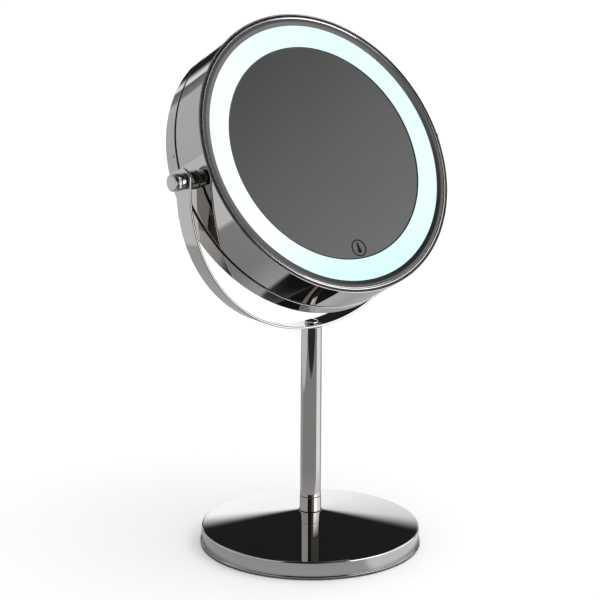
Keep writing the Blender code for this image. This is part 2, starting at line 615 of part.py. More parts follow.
def build_led_board(head, looks):
    """Ring circuit board whose lamps stand up from its front face."""
    inner = CHANNEL_INNER + FRAME_WALL + GAP
    outer = CHANNEL_OUTER - FRAME_WALL - GAP
    middle = (inner + outer) / 2
    back = CHANNEL_FLOOR + FRAME_WALL + GAP
    front = back + LED_BOARD_THICKNESS
    outline = [(inner, back), (outer, back), (outer, front), (middle + LAMP_WIDTH / 2, front)]
    outline += [(middle - LAMP_WIDTH / 2, front), (inner, front)]
    facets_per_lamp = 3
    facets = facets_per_lamp * LAMP_COUNT
    bm = bmesh.new()
    spin_outline(bm, outline, facets)
    bmesh.ops.recalc_face_normals(bm, faces=bm.faces)
    lamps = []
    for face in bm.faces:
        centre = face.calc_center_median()
        in_band = abs(centre.xy.length - middle) < LAMP_WIDTH / 4
        facet = int(math.atan2(centre.y, centre.x) % math.tau / math.tau * facets)
        if face.normal.z > 0 and in_band and facet % facets_per_lamp == 0:
            lamps.append(face)
    raised = bmesh.ops.extrude_discrete_faces(bm, faces=lamps)
    for face in raised["faces"]:
        bmesh.ops.translate(bm, verts=face.verts, vec=(0.0, 0.0, LAMP_HEIGHT))
    make_object("led_board", bm, looks["led_board"], head)


def build_touch_switch(head, looks):
    """Copper pad behind the glass, joined to the control board by a spring."""
    pad_back = FRAME_FRONT - TOUCH_THICKNESS
    pad = disc_outline(TOUCH_RADIUS, pad_back, FRAME_FRONT)
    turned("touch_sensor", pad, SMALL_FACETS, looks["copper"], head, (TOUCH_PLACE,))
    place = Matrix.Translation((*TOUCH_PLACE, 0.0))
    spring_size = (TOUCH_SPRING_RADIUS, TOUCH_SPRING_WIRE, CONTROL_FRONT + GAP, pad_back - GAP)
    coil("touch_spring", *spring_size, looks["zinc"], place, head)

    back = CONTROL_FRONT - CONTROL_THICKNESS
    half = CONTROL_WIDTH / 2
    high = CONTROL_LOW + CONTROL_LENGTH
    board_box = ((-half, CONTROL_LOW, back), (half, high, CONTROL_FRONT))
    board = box("control_board", *board_box, looks["green_board"], head)
    chip_high = high - CHIP_FROM_EDGE
    chip_front = back + CONTROL_THICKNESS / 2
    chip_low_corner = (-CHIP_SIZE / 2, chip_high - CHIP_SIZE, back - CHIP_HEIGHT)
    chip = box("control_chip", chip_low_corner, (CHIP_SIZE / 2, chip_high, chip_front), None, head)
    use_helper(board, chip, "UNION")


def build_tray(head, looks):
    """Black moulding that closes the drum's back, with the battery bay sunk into it."""
    plate = disc_outline(TRAY_RADIUS, TRAY_REAR, TRAY_FRONT)
    tray = turned("battery_tray", plate, OUTER_FACETS, looks["black_plastic"], head)
    half_width = BAY_WIDTH / 2
    low = TRAY_BAY_LIFT - BAY_LENGTH / 2
    high = TRAY_BAY_LIFT + BAY_LENGTH / 2
    bay_low = (-half_width - TRAY_WALL, low - TRAY_WALL, TRAY_FRONT - TRAY_PLATE / 2)
    bay_high = (half_width + TRAY_WALL, high + TRAY_WALL, BAY_FLOOR + TRAY_WALL)
    use_helper(tray, box("bay_walls", bay_low, bay_high, None, head), "UNION")
    cut_rear = TRAY_REAR - TRAY_PLATE
    pocket = box("bay_pocket", (-half_width, low, cut_rear), (half_width, high, BAY_FLOOR), None, head)
    use_helper(tray, pocket, "DIFFERENCE")
    hole = disc_outline(TRAY_SCREW_RADIUS + GAP, cut_rear, TRAY_FRONT + TRAY_PLATE)
    use_helper(tray, turned("tray_holes", hole, SCREW_FACETS, None, head, screw_places()), "DIFFERENCE")
    use_helper(tray, bayonet_blocks("tray_notches", head, -BAYONET_TURN, True), "DIFFERENCE")

    seat = TRAY_REAR - GAP
    head_rear = seat - TRAY_SCREW_HEAD_HEIGHT
    tip = seat + TRAY_SCREW_LENGTH
    outline = [(0.0, head_rear), (TRAY_SCREW_HEAD_RADIUS, head_rear), (TRAY_SCREW_HEAD_RADIUS, seat)]
    outline += [(TRAY_SCREW_RADIUS, seat), (TRAY_SCREW_RADIUS, tip), (0.0, tip)]
    for index, place in enumerate(screw_places(), 1):
        turned(f"tray_screw_{index}", outline, SCREW_FACETS, looks["zinc"], head, (place,))


def build_cells(head, looks):
    """Each cell lies along the drum's height, turned end for end from the one beside it."""
    body = CELL_LENGTH - CELL_NUB_LENGTH
    outline = [(0.0, 0.0), (CELL_RADIUS, 0.0), (CELL_RADIUS, body), (CELL_NUB_RADIUS, body)]
    outline += [(CELL_NUB_RADIUS, CELL_LENGTH), (0.0, CELL_LENGTH)]
    depth = BAY_FLOOR - GAP - CELL_RADIUS
    pitch = 2 * CELL_RADIUS + CELL_SPACE
    for index in range(CELL_COUNT):
        across = (index - (CELL_COUNT - 1) / 2) * pitch
        facing = 1 if index % 2 == 0 else -1
        spring_wall = TRAY_BAY_LIFT - facing * BAY_LENGTH / 2
        along = Matrix.Rotation(math.radians(-90 * facing), 4, "X")
        frame = Matrix.Translation((across, spring_wall, depth)) @ along
        number = index + 1
        cell = turned(f"battery_cell_{number}", outline, SMALL_FACETS, looks["cell_sleeve"], head)
        cell.matrix_local = frame @ Matrix.Translation((0.0, 0.0, CONTACT_SPRING_LENGTH))
        spring_size = (CONTACT_SPRING_RADIUS, CONTACT_SPRING_WIRE, GAP, CONTACT_SPRING_LENGTH - GAP)
        coil(f"contact_spring_{number}", *spring_size, looks["zinc"], frame, head)
        half = CONTACT_PLATE_WIDTH / 2
        far = BAY_LENGTH - GAP
        plate_low = (-half, -half, far - CONTACT_PLATE_THICKNESS)
        plate = box(f"contact_plate_{number}", plate_low, (half, half, far), looks["zinc"], head)
        plate.matrix_local = frame


def bayonet_blocks(name, head, turn, cutting):
    """Lugs inside the bayonet ring, or with cutting the notches in the tray that let them through."""
    margin = 2 * GAP if cutting else 0.0
    inner = SPIGOT_INNER - BAYONET_LUG_DEPTH - margin
    outer = SPIGOT_INNER + BAYONET_WALL / 2
    half_angle = BAYONET_LUG_ANGLE + margin / inner
    back = TRAY_FRONT + GAP
    low = TRAY_REAR - TRAY_PLATE if cutting else back
    high = TRAY_FRONT + TRAY_PLATE if cutting else back + BAYONET_LUG_THICKNESS
    bm = bmesh.new()
    for index in range(BAYONET_LUG_COUNT):
        middle = math.radians(90) + math.tau * index / BAYONET_LUG_COUNT + turn
        rings = []
        for angle in (middle - half_angle, middle, middle + half_angle):
            spoke = Vector((math.cos(angle), math.sin(angle)))
            near, far = spoke * inner, spoke * outer
            points = [(near, low), (far, low), (far, high), (near, high)]
            rings.append([bm.verts.new((point.x, point.y, height)) for point, height in points])
        for first, second in zip(rings, rings[1:]):
            for side in range(4):
                after = (side + 1) % 4
                bm.faces.new((first[side], first[after], second[after], second[side]))
        bm.faces.new(rings[0])
        bm.faces.new(rings[-1])
    return make_object(name, bm, None, head)


def build_bayonet_ring(head, looks):
    """Black ring in the seam: it turns in the front shell, and the rear cover is pushed onto it."""
    front = TRAY_FRONT + GAP + BAYONET_LUG_THICKNESS
    flange_front = SEAM_FRONT - GAP
    flange_back = SEAM_REAR + GAP
    back = flange_back - BAYONET_BACK
    seam_bottom = HEAD_RADIUS - BAYONET_SEAM_INSET
    outline = [(SPIGOT_INNER, back), (SPIGOT_OUTER, back), (SPIGOT_OUTER, flange_back)]
    outline += [(seam_bottom, flange_back), (seam_bottom, flange_front), (SPIGOT_OUTER, flange_front)]
    outline += [(SPIGOT_OUTER, front), (SPIGOT_INNER, front)]
    ring = turned("bayonet_ring", outline, OUTER_FACETS, looks["black_plastic"], head)
    use_helper(ring, bayonet_blocks("bayonet_lugs", head, 0.0, False), "UNION")


def build_rear_cover(head, looks):
    flange_front = HEAD_REAR + REAR_FLANGE
    corner = (HEAD_RADIUS - REAR_ROUND, HEAD_REAR + REAR_ROUND)
    outline = [(WALL_INNER, SEAM_REAR), (WALL_INNER, flange_front), (REAR_BEZEL_INNER, flange_front)]
    outline += [(REAR_BEZEL_INNER, HEAD_REAR + SHELL_ROUND), (REAR_BEZEL_INNER + SHELL_ROUND, HEAD_REAR)]
    outline += arc(corner, REAR_ROUND, -90, 0, ROUND_STEPS)
    outline += [(HEAD_RADIUS, SEAM_REAR)]
    turned("rear_cover", outline, OUTER_FACETS, looks["plated_shell"], head)


def dish_points(radius, rim_place):
    """Points from the rim in to the axis along the magnifying curve, which is deepest at the axis."""
    rim_sag = math.sqrt(REAR_GLASS_CURVE**2 - radius**2)
    steps = 3
    points = []
    for step in range(steps + 1):
        distance = radius * (1 - step / steps)
        points.append((distance, rim_place + math.sqrt(REAR_GLASS_CURVE**2 - distance**2) - rim_sag))
    return points


def build_rear_mirror(head, looks):
    rear = dish_points(REAR_GLASS_RADIUS, REAR_GLASS_RIM)
    front = dish_points(REAR_GLASS_RADIUS, REAR_GLASS_RIM + REAR_GLASS_THICKNESS)
    turned("rear_mirror", rear[::-1] + front, OUTER_FACETS, looks["mirror_glass"], head)

    near = dish_points(BACKING_INNER, BACKING_SEAT)
    far = dish_points(BACKING_INNER, BACKING_FRONT)
    outline = near[::-1] + [(BACKING_INNER, REAR_GLASS_RIM), (BACKING_OUTER, REAR_GLASS_RIM)]
    outline += [(BACKING_OUTER, BACKING_FRONT)] + far
    turned("rear_mirror_backing", outline, INNER_FACETS, looks["black_plastic"], head)


def make_looks():
    """(colour, roughness, metallic) of each material, and how bright the light ring shines."""
    return {
        "chrome": make_material("chrome", (0.72, 0.70, 0.69), 0.06, 1.0),
        "plated_shell": make_material("plated_shell", (0.70, 0.68, 0.67), 0.06, 1.0),
        "mirror_glass": make_material("mirror_glass", (0.80, 0.82, 0.83), 0.02, 1.0),
        "diffuser": make_material("diffuser", (0.85, 1.0, 1.0), 0.4, 0.0, 2.0),
        "rubber": make_material("rubber", (0.03, 0.03, 0.03), 0.85, 0.0),
        "iron": make_material("iron", (0.12, 0.12, 0.13), 0.6, 0.8),
        "zinc": make_material("zinc", (0.62, 0.62, 0.60), 0.3, 1.0),
        "black_plastic": make_material("black_plastic", (0.02, 0.02, 0.022), 0.45, 0.0),
        "white_plastic": make_material("white_plastic", (0.85, 0.85, 0.83), 0.4, 0.0),
        "led_board": make_material("led_board", (0.88, 0.88, 0.84), 0.4, 0.0),
        "green_board": make_material("green_board", (0.03, 0.22, 0.09), 0.4, 0.0),
        "copper": make_material("copper", (0.80, 0.45, 0.28), 0.3, 1.0),
        "cell_sleeve": make_material("cell_sleeve", (0.10, 0.11, 0.13), 0.3, 0.2),
    }


def main():
    clear_scene()
    looks = make_looks()
    build_base(looks)
    build_post(looks)
    build_yoke(looks)
    build_yoke_screw(looks)

    pivot_point = Matrix.Translation((0.0, 0.0, PIVOT_HEIGHT))
    for side, turn in (("left", -90), ("right", 90)):
        outwards = pivot_point @ Matrix.Rotation(math.radians(turn), 4, "Y")
        build_pivot(side, make_empty("pivot_" + side, outwards), looks)

    tilt = Matrix.Rotation(math.radians(90) - HEAD_TILT, 4, "X")
    head = make_empty("head", pivot_point @ tilt)
    build_head_shell(head, looks)
    build_bezel(head, looks)
    build_front_optics(head, looks)
    build_inner_frame(head, looks)
    build_led_board(head, looks)
    build_touch_switch(head, looks)
    build_tray(head, looks)
    build_cells(head, looks)
    build_bayonet_ring(head, looks)
    build_rear_cover(head, looks)
    build_rear_mirror(head, looks)


main()
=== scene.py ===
"""Looks of the countertop make-up mirror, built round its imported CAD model.

Metres, +Z up, the lit side faces -Y.
"""

import json
import math

import bmesh
import bpy
from mathutils import Matrix, Vector


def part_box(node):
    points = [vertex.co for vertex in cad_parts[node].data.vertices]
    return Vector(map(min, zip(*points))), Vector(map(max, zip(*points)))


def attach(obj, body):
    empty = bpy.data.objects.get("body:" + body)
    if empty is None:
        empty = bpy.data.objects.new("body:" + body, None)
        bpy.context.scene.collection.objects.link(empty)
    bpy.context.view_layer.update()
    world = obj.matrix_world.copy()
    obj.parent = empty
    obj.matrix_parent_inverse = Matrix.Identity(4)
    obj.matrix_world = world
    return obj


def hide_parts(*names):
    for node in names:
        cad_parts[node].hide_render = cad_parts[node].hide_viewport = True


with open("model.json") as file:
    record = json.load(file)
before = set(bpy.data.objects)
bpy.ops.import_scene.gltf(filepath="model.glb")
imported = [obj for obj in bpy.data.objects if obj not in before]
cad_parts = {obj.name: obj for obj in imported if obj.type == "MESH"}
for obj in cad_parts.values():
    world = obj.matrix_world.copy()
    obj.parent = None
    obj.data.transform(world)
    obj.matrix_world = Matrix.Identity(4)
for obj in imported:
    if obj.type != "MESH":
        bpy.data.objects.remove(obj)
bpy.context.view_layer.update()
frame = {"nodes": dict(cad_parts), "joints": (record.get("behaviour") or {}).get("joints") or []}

MM = 0.001

# Camera, round the stand's axis
CAMERA_DISTANCE = 1.43561
CAMERA_AZIMUTH = math.radians(39.67)  # from the lit side towards -X
CAMERA_ELEVATION = math.radians(14.69)
CAMERA_ROLL = math.radians(0.32)
CAMERA_LENS = 147.447
CAMERA_TARGET_HEIGHT = 149.2 * MM
CAMERA_TARGET_SIDE = -6.86 * MM
CAMERA_SENSOR = 36.0
CAMERA_NEAR = 0.05
CAMERA_FAR = 40.0

# Smoothness
FINE = 192  # facets round the drum, the base and the glass
ROUND = 64  # facets round the post and the knobs
SMALL = 32  # steps round the tip of the touch symbol
FILLET_STEPS = 6
DOME_STEPS = 8  # up a quarter of the yoke screw's dome, and round the top of the touch symbol
SHARP = math.radians(40)

# Drum details
SHELL_LIP = 0.6 * MM
SHELL_EDGE = 0.28 * MM
SEAM_EDGE = 0.35 * MM
SEAM_EASE = 0.15 * MM
SEAM_DEPTH = 0.5 * MM
BEZEL_GROOVE = 0.9 * MM
BEZEL_GROOVE_WIDTH = 0.4 * MM
# painted shade: the black ring down in the groove between the shell's lip and the bezel stands
# for the groove's shadow
GROOVE_SHADE_DEPTH = 0.45 * MM
GROOVE_SHADE_THICKNESS = 0.8 * MM
BEZEL_BEAD_WIDTH = 0.7 * MM
BEZEL_BEAD_RISE = 0.12 * MM
BEAD_STEPS = 12
BEZEL_LINE = 0.4 * MM
BEZEL_SKIRT = 3.0 * MM
BEZEL_LIP = 0.3 * MM
GLASS_BEVEL = 0.15 * MM
SHELL_STEP = 4.0 * MM  # inner face of the front shell's flange
# painted shade: width of the black ring that stands for the shadow in the gap round the front
# glass
GAP_SHADE_WIDTH = 0.75 * MM
REAR_ROUND = 1.8 * MM
REAR_SLOPE = 4.0 * MM
REAR_SLOPE_DROP = 0.7 * MM
MARK_ANGLE = math.radians(167)
MARK_SIZE = 1.7 * MM
MARK_BEHIND_SEAM = 1.4 * MM
MARK_PROUD = 0.02 * MM
MARK_SINK = 0.06 * MM
MARK_HOLE = 0.5  # share of the mark's size

# Touch symbol on the glass
TOUCH_BELOW = 58.8 * MM
ICON_RADIUS = 5.1 * MM
ICON_LINE = 0.72 * MM
ICON_RISE = 0.1 * MM
TIP_START = 125  # degrees: the tip is open at its top, where the stroke joins it
TIP_TURN = 290

# Knob, from the outer end inwards
KNOB_CAP = 0.9 * MM
KNOB_GROOVE = 1.4 * MM
KNOB_BAND = 2.0 * MM
KNOB_LINE = 0.5 * MM
KNOB_DEPTH = 1.5 * MM
KNOB_BORE = 2.3 * MM
KNOB_BORE_END = 2.0 * MM  # below the face
KNURLS = 40
KNURL_RISE = 0.12 * MM
KNURL_SINK = 0.05 * MM
KNURL_FILL = 0.8  # share of the pitch
KNURL_INSET = 0.25 * MM

# Yoke
YOKE_THICKNESS = 1.5 * MM
YOKE_TIP_WIDTH = 0.4 * MM
YOKE_BEVEL = 0.55 * MM
YOKE_BEVEL_STEPS = 3
YOKE_STEPS = 160
YOKE_END_STEPS = 20

# Base, collar and post
PAD_EDGE = 0.3 * MM
BASE_WALL = 1.0 * MM
BASE_LIP_OUT = 0.7 * MM
BASE_LIP_HEIGHT = 1.6 * MM
BASE_RIM_TOP = 10.8 * MM
COLLAR_SPIGOT = 4.0 * MM
COLLAR_NECK = 5.0 * MM
TUBE_EDGE = 0.2 * MM

# Bayonet ring
SEAM_GAP = 0.3 * MM
SPIGOT_IN = 2.8 * MM
SPIGOT_WALL = 1.5 * MM
RING_EDGE = 0.15 * MM
LUG_COUNT = 3
LUG_FIRST = math.radians(90)
LUG_HALF = math.radians(8)
LUG_STEPS = 8
LUG_THICKNESS = 1.2 * MM
LUG_ROOT = 0.5 * MM

# Rear cover and its glass
COVER_WALL = 2.5 * MM
COVER_FLANGE = 1.6 * MM
REAR_GLASS_CURVE = 600.0 * MM
REAR_GLASS_THICKNESS = 2.2 * MM
REAR_GLASS_STEPS = 24

# Studio, seen only in reflections. Angles in degrees: azimuth 0 is away from the camera
WALL_RADIUS = 3.0
TABLE_INNER = 0.02
TABLE_OUTER = 2.9
TABLE_STEPS = 120
SOFTBOX_RADIUS = 0.56
SOFTBOX_AZIMUTHS = (50, 140)
SOFTBOX_HEIGHTS = (0.0, 0.48)
SOFTBOX_STEPS = 24
CARD_TURN = 2  # degrees between the columns of the table and the softbox

# Brightness of the walls. A panel spans two azimuths, and fades out between two elevations
WALL_DARK = 0.02
BACKDROP_LIGHT = 1.25
BACKDROP_FALL = 0.025  # for each degree to the right
BACKDROP_SPAN = (-11.0, 24.0)
BACKDROP_BLUR = 2.0
BACKDROP_TOP = (13.7, 22.0)
STRIP_LIGHT = 1.1
STRIP_RISE = (-29.6, -28.6)
STRIP_FADE = (-28.0, -21.0)
STRIP_TOP = (16.0, 24.0)
GAP_LIGHT = 0.30
GAP_FALL = 0.02
GAP_SPAN = (-38.0, -29.0)
GAP_BLUR = 0.6
GAP_TOP = (16.0, 30.0)
LEFT_LIGHT = 0.64
LEFT_SPAN = (-150.0, -38.0)
LEFT_BLUR = 0.8
LEFT_TOP = (42.0, 60.0)
RIGHT_LIGHT = 0.232
RIGHT_SPAN = (30.0, 165.0)
RIGHT_BLUR = 12.0
RIGHT_TOP = (25.0, 51.0)

# Brightness of the table, with distances from the stand in metres
TABLE_LIGHT = 0.34
TABLE_NEAR_LIGHT = 0.16
TABLE_NEAR = (0.06, 0.15)
TABLE_BEHIND_LIGHT = 0.16
TABLE_BEHIND = (-0.02, 0.10)
SECTOR_LIGHT = 1.25  # a bright sector at the right
SECTOR_DIM = 0.35  # how much less it is near the stand
SECTOR_DIM_WITHIN = (0.10, 0.16)
SECTOR_START = 60.0
SECTOR_END = 118.0
SECTOR_END_NEAR = 25.0  # how much further it turns near the stand
SECTOR_END_WITHIN = (0.08, 0.13)
SECTOR_BLUR = 4.0
TABLE_LEFT_LIGHT = 0.82
TABLE_LEFT = (0.31, 0.33)
FRONT_DARK = 0.04  # a dark area on the camera's side
FRONT_BEYOND = (0.35, 0.37)
FRONT_WITHIN = (0.29, 0.33)
FAR_LIGHT = 0.9  # the table behind the stand
FAR_BEYOND = (0.3, 0.5)
FAR_WITHIN = (0.2, 0.4)
# painted shadow: the table card darkens under the base
STAND_SHADE = (0.064, 0.074)  # dark under the base

# Brightness of the softbox
SOFTBOX_LIGHT = 1.6
SOFTBOX_MORE = 0.9
SOFTBOX_MORE_FROM = (95.0, 105.0)
SOFTBOX_FADE = 0.45

# Lights and floor
GROUND_LIGHT = 0.62  # what the world gives everything but the camera
SKY_SEEN = 1.0  # what the camera sees of it
SUN_ENERGY = 1.75
SUN_SPREAD = math.radians(75)
SUN_TILT = math.radians(16)
FLOOR_HALF = 8.0

joints = {joint["name"]: joint for joint in frame["joints"]}
pivot = Vector(joints["head_tilt"]["pos_m"])
rear = Vector(joints["rear_cover_lift"]["axis"])
front = -rear
side = Vector((1.0, 0.0, 0.0))
up = front.cross(side)
HEAD = Matrix.Translation(pivot) @ Matrix((side, up, front)).transposed().to_4x4()
LEFT = Matrix.Translation(pivot) @ Matrix.Rotation(math.radians(-90), 4, "Y")
RIGHT = Matrix.Translation(pivot) @ Matrix.Rotation(math.radians(90), 4, "Y")
STAND = Matrix.Identity(4)


class Span:
    """How far a CAD node reaches round and along an axis."""

    def __init__(self, node, place):
        back = place.inverted()
        points = [back @ vertex.co for vertex in frame["nodes"][node].data.vertices]
        self.inner = min(point.xy.length for point in points)
        self.outer = max(point.xy.length for point in points)
        self.low = min(point.z for point in points)
        self.high = max(point.z for point in points)


# ---------------------------------------------------------------- materials


class Shader:
    """A material with a Principled shader, and short ways to add nodes to it."""

    def __init__(self, name, colour, roughness, metallic=0.0):
        self.material = bpy.data.materials.new(name)
        self.material.use_nodes = True
        self.tree = self.material.node_tree
        self.principled = self.tree.nodes["Principled BSDF"]
        self.set("Base Color", (*colour, 1.0))
        self.set("Roughness", roughness)
        self.set("Metallic", metallic)
        self.material.diffuse_color = (*colour, 1.0)
        self.place = self.tree.nodes.new("ShaderNodeTexCoord").outputs["Object"]

    def set(self, socket, value):
        self.principled.inputs[socket].default_value = value

    def link(self, output, socket):
        self.tree.links.new(output, self.principled.inputs[socket])

    def noise(self, scale, detail=2.0, roughness=0.5, stretch=None):
        """A noise pattern with about `scale` features to the metre."""
        node = self.tree.nodes.new("ShaderNodeTexNoise")
        node.inputs["Scale"].default_value = scale
        node.inputs["Detail"].default_value = detail
        node.inputs["Roughness"].default_value = roughness
        self.tree.links.new(self.stretched(stretch), node.inputs["Vector"])
        return node.outputs["Fac"]

    def stretched(self, stretch):
        if stretch is None:
            return self.place
        node = self.tree.nodes.new("ShaderNodeMapping")
        node.inputs["Scale"].default_value = stretch
        self.tree.links.new(self.place, node.inputs["Vector"])
        return node.outputs["Vector"]

    def mapped(self, value, low, high, to_low, to_high):
        node = self.tree.nodes.new("ShaderNodeMapRange")
        limits = {"From Min": low, "From Max": high, "To Min": to_low, "To Max": to_high}
        for socket, number in limits.items():
            node.inputs[socket].default_value = number
        self.tree.links.new(value, node.inputs["Value"])
        return node.outputs["Result"]

    def maths(self, operation, first, second):
        node = self.tree.nodes.new("ShaderNodeMath")
        node.operation = operation
        for socket, value in zip(node.inputs, (first, second)):
            if isinstance(value, (int, float)):
                socket.default_value = value
            else:
                self.tree.links.new(value, socket)
        return node.outputs["Value"]

    def blend(self, amount, first, second):
        """A colour between two, each a colour or another node's output."""
        node = self.tree.nodes.new("ShaderNodeMix")
        node.data_type = "RGBA"
        self.tree.links.new(amount, node.inputs["Factor"])
        for socket, value in ((node.inputs[6], first), (node.inputs[7], second)):
            if isinstance(value, tuple):
                socket.default_value = (*value, 1.0)
            else:
                self.tree.links.new(value, socket)
        return node.outputs[2]

    def bump(self, height, strength, distance):
        node = self.tree.nodes.new("ShaderNodeBump")
        node.inputs["Strength"].default_value = strength
        node.inputs["Distance"].default_value = distance
        self.tree.links.new(height, node.inputs["Height"])
        self.link(node.outputs["Normal"], "Normal")

    def edges(self, low=0.52, high=0.6):
        """1 on sharp outer edges, where plating and paint rub first."""
        node = self.tree.nodes.new("ShaderNodeNewGeometry")
        return self.mapped(node.outputs["Pointiness"], low, high, 0.0, 1.0)

    def axis(self, name):
        node = self.tree.nodes.new("ShaderNodeSeparateXYZ")
        self.tree.links.new(self.place, node.inputs["Vector"])
        return node.outputs[name]


def plated(name, colour, worn, haze, wave):
    """Polished chrome with faint clouding and wiping marks, and ripples `wave` metres high."""
    look = Shader(name, colour, haze, 1.0)
    clouds = look.mapped(look.noise(35.0, 3.0), 0.35, 0.7, 0.0, 1.0)
    wiped = look.noise(900.0, 2.0, 0.6, (1.0, 1.0, 0.04))
    patches = look.mapped(look.noise(300.0), 0.45, 0.6, 0.0, 1.0)
    rubbed = look.maths("MULTIPLY", look.edges(0.58, 0.72), patches)
    stain = look.maths("MULTIPLY", clouds, 0.5)
    look.link(look.blend(look.maths("MAXIMUM", rubbed, stain), colour, worn), "Base Color")
    smears = look.maths("MULTIPLY", clouds, look.mapped(wiped, 0.45, 0.7, 0.0, 1.0))
    look.link(look.maths("ADD", look.maths("MULTIPLY", smears, haze), haze), "Roughness")
    look.bump(look.noise(28.0, 1.0), 1.0, wave)
    return look.material


def mirror_glass():
    look = Shader("mirror_glass", (0.86, 0.865, 0.87), 0.012, 1.0)
    smudge = look.mapped(look.noise(22.0, 4.0, 0.6), 0.5, 0.75, 0.0, 1.0)
    dust = look.mapped(look.noise(1500.0, 1.0), 0.74, 0.8, 0.0, 1.0)
    specks = look.mapped(dust, 0.0, 1.0, 0.01, 0.1)
    look.link(look.maths("ADD", look.maths("MULTIPLY", smudge, 0.02), specks), "Roughness")
    look.link(look.blend(smudge, (0.87, 0.875, 0.88), (0.84, 0.845, 0.85)), "Base Color")
    return look.material


def lit_diffuser():
    """Frosted acrylic, lit from behind: white at -X, cyan towards +X and at the bottom."""
    look = Shader("diffuser", (0.05, 0.06, 0.06), 0.35)
    drift = look.mapped(look.noise(30.0, 1.0), 0.3, 0.7, -0.1, 0.1)
    across = look.maths("ADD", look.mapped(look.axis("X"), -0.06, 0.0, 0.0, 1.0), drift)
    bottom = look.mapped(look.axis("Y"), -0.045, -0.075, 0.0, 0.9)
    frost = look.mapped(look.noise(2500.0, 1.0), 0.3, 0.7, 0.0, 0.06)
    glow = look.blend(across, (0.93, 1.0, 1.0), (0.77, 1.0, 1.0))
    glow = look.blend(bottom, glow, (0.62, 0.99, 1.0))
    look.link(look.blend(frost, glow, (0.6, 0.93, 0.98)), "Emission Color")
    look.set("Emission Strength", 1.0)
    look.bump(look.noise(3000.0, 1.0), 0.1, 0.02 * MM)
    return look.material


def rubber():
    look = Shader("rubber", (0.035, 0.035, 0.037), 0.85)
    cells = look.noise(2200.0, 2.0)
    look.link(look.blend(cells, (0.02, 0.02, 0.021), (0.06, 0.06, 0.062)), "Base Color")
    look.link(look.mapped(look.noise(500.0), 0.3, 0.7, 0.75, 0.95), "Roughness")
    look.bump(cells, 0.5, 0.15 * MM)
    return look.material


def cast_iron():
    look = Shader("iron", (0.12, 0.12, 0.13), 0.6, 0.8)
    grain = look.noise(1400.0, 4.0, 0.7)
    rust = look.mapped(look.noise(120.0, 4.0, 0.7), 0.56, 0.7, 0.0, 0.6)
    look.link(look.blend(rust, (0.11, 0.11, 0.12), (0.19, 0.10, 0.06)), "Base Color")
    look.link(look.mapped(grain, 0.3, 0.7, 0.45, 0.75), "Roughness")
    look.bump(grain, 0.6, 0.2 * MM)
    return look.material


def zinc_plate():
    look = Shader("zinc", (0.62, 0.62, 0.60), 0.3, 1.0)
    stain = look.mapped(look.noise(260.0, 3.0), 0.4, 0.65, 0.0, 1.0)
    look.link(look.blend(stain, (0.64, 0.64, 0.63), (0.52, 0.52, 0.47)), "Base Color")
    worn = look.maths("MULTIPLY", look.edges(), -0.1)
    haze = look.mapped(look.noise(900.0, 2.0), 0.3, 0.7, 0.25, 0.42)
    look.link(look.maths("ADD", haze, worn), "Roughness")
    look.bump(look.noise(1800.0, 2.0), 0.2, 0.04 * MM)
    return look.material


def moulded(name, colour, lighter, roughness, grain):
    look = Shader(name, colour, roughness)
    texture = look.noise(grain, 2.0)
    patches = look.mapped(look.noise(250.0), 0.4, 0.6, 0.1, 0.8)
    scuffs = look.maths("MULTIPLY", look.edges(), patches)
    shade = look.maths("ADD", scuffs, look.mapped(texture, 0.3, 0.7, 0.0, 0.25))
    look.link(look.blend(shade, colour, lighter), "Base Color")
    sheen = look.mapped(look.noise(grain / 4, 3.0), 0.3, 0.7, roughness - 0.08, roughness + 0.1)
    look.link(sheen, "Roughness")
    look.bump(texture, 0.3, 0.05 * MM)
    return look.material


def circuit_board(name, mask, track):
    look = Shader(name, mask, 0.35)
    cells = look.tree.nodes.new("ShaderNodeTexVoronoi")
    cells.distance = "MANHATTAN"
    cells.feature = "F1"
    cells.inputs["Scale"].default_value = 420.0
    look.tree.links.new(look.place, cells.inputs["Vector"])
    lines = look.mapped(cells.outputs["Distance"], 0.42, 0.5, 0.0, 1.0)
    look.link(look.blend(lines, mask, track), "Base Color")
    look.link(look.mapped(look.noise(400.0), 0.3, 0.7, 0.28, 0.45), "Roughness")
    look.set("Coat Weight", 0.4)
    look.bump(lines, 0.3, 0.04 * MM)
    return look.material


def copper_pad():
    look = Shader("copper", (0.80, 0.45, 0.28), 0.3, 1.0)
    tarnish = look.mapped(look.noise(500.0, 3.0), 0.4, 0.7, 0.0, 0.7)
    look.link(look.blend(tarnish, (0.83, 0.47, 0.30), (0.45, 0.24, 0.15)), "Base Color")
    look.link(look.mapped(look.noise(900.0, 2.0), 0.3, 0.7, 0.22, 0.45), "Roughness")
    return look.material


def cell_sleeve():
    """Shrink sleeve of the cells: dark, with a copper-coloured end."""
    look = Shader("cell_sleeve", (0.06, 0.065, 0.08), 0.28, 0.3)
    end = look.mapped(look.axis("X"), 9.0 * MM, 9.6 * MM, 0.0, 1.0)
    scuffs = look.mapped(look.noise(500.0, 3.0), 0.62, 0.7, 0.0, 0.4)
    sleeve = look.blend(end, (0.05, 0.055, 0.07), (0.72, 0.42, 0.18))
    look.link(look.blend(scuffs, sleeve, (0.3, 0.3, 0.3)), "Base Color")
    look.link(look.mapped(look.noise(700.0, 2.0), 0.3, 0.7, 0.2, 0.36), "Roughness")
    look.bump(look.noise(300.0, 2.0), 0.15, 0.05 * MM)
    return look.material


def ink():
    look = Shader("ink", (0.003, 0.003, 0.0035), 0.5)
    shade = look.blend(look.noise(3000.0, 1.0), (0.002, 0.002, 0.002), (0.006, 0.006, 0.007))
    look.link(shade, "Base Color")
    look.link(look.mapped(look.noise(1500.0), 0.3, 0.7, 0.4, 0.6), "Roughness")
    look.set("Specular IOR Level", 0.15)
    return look.material


# ---------------------------------------------------------------- shapes


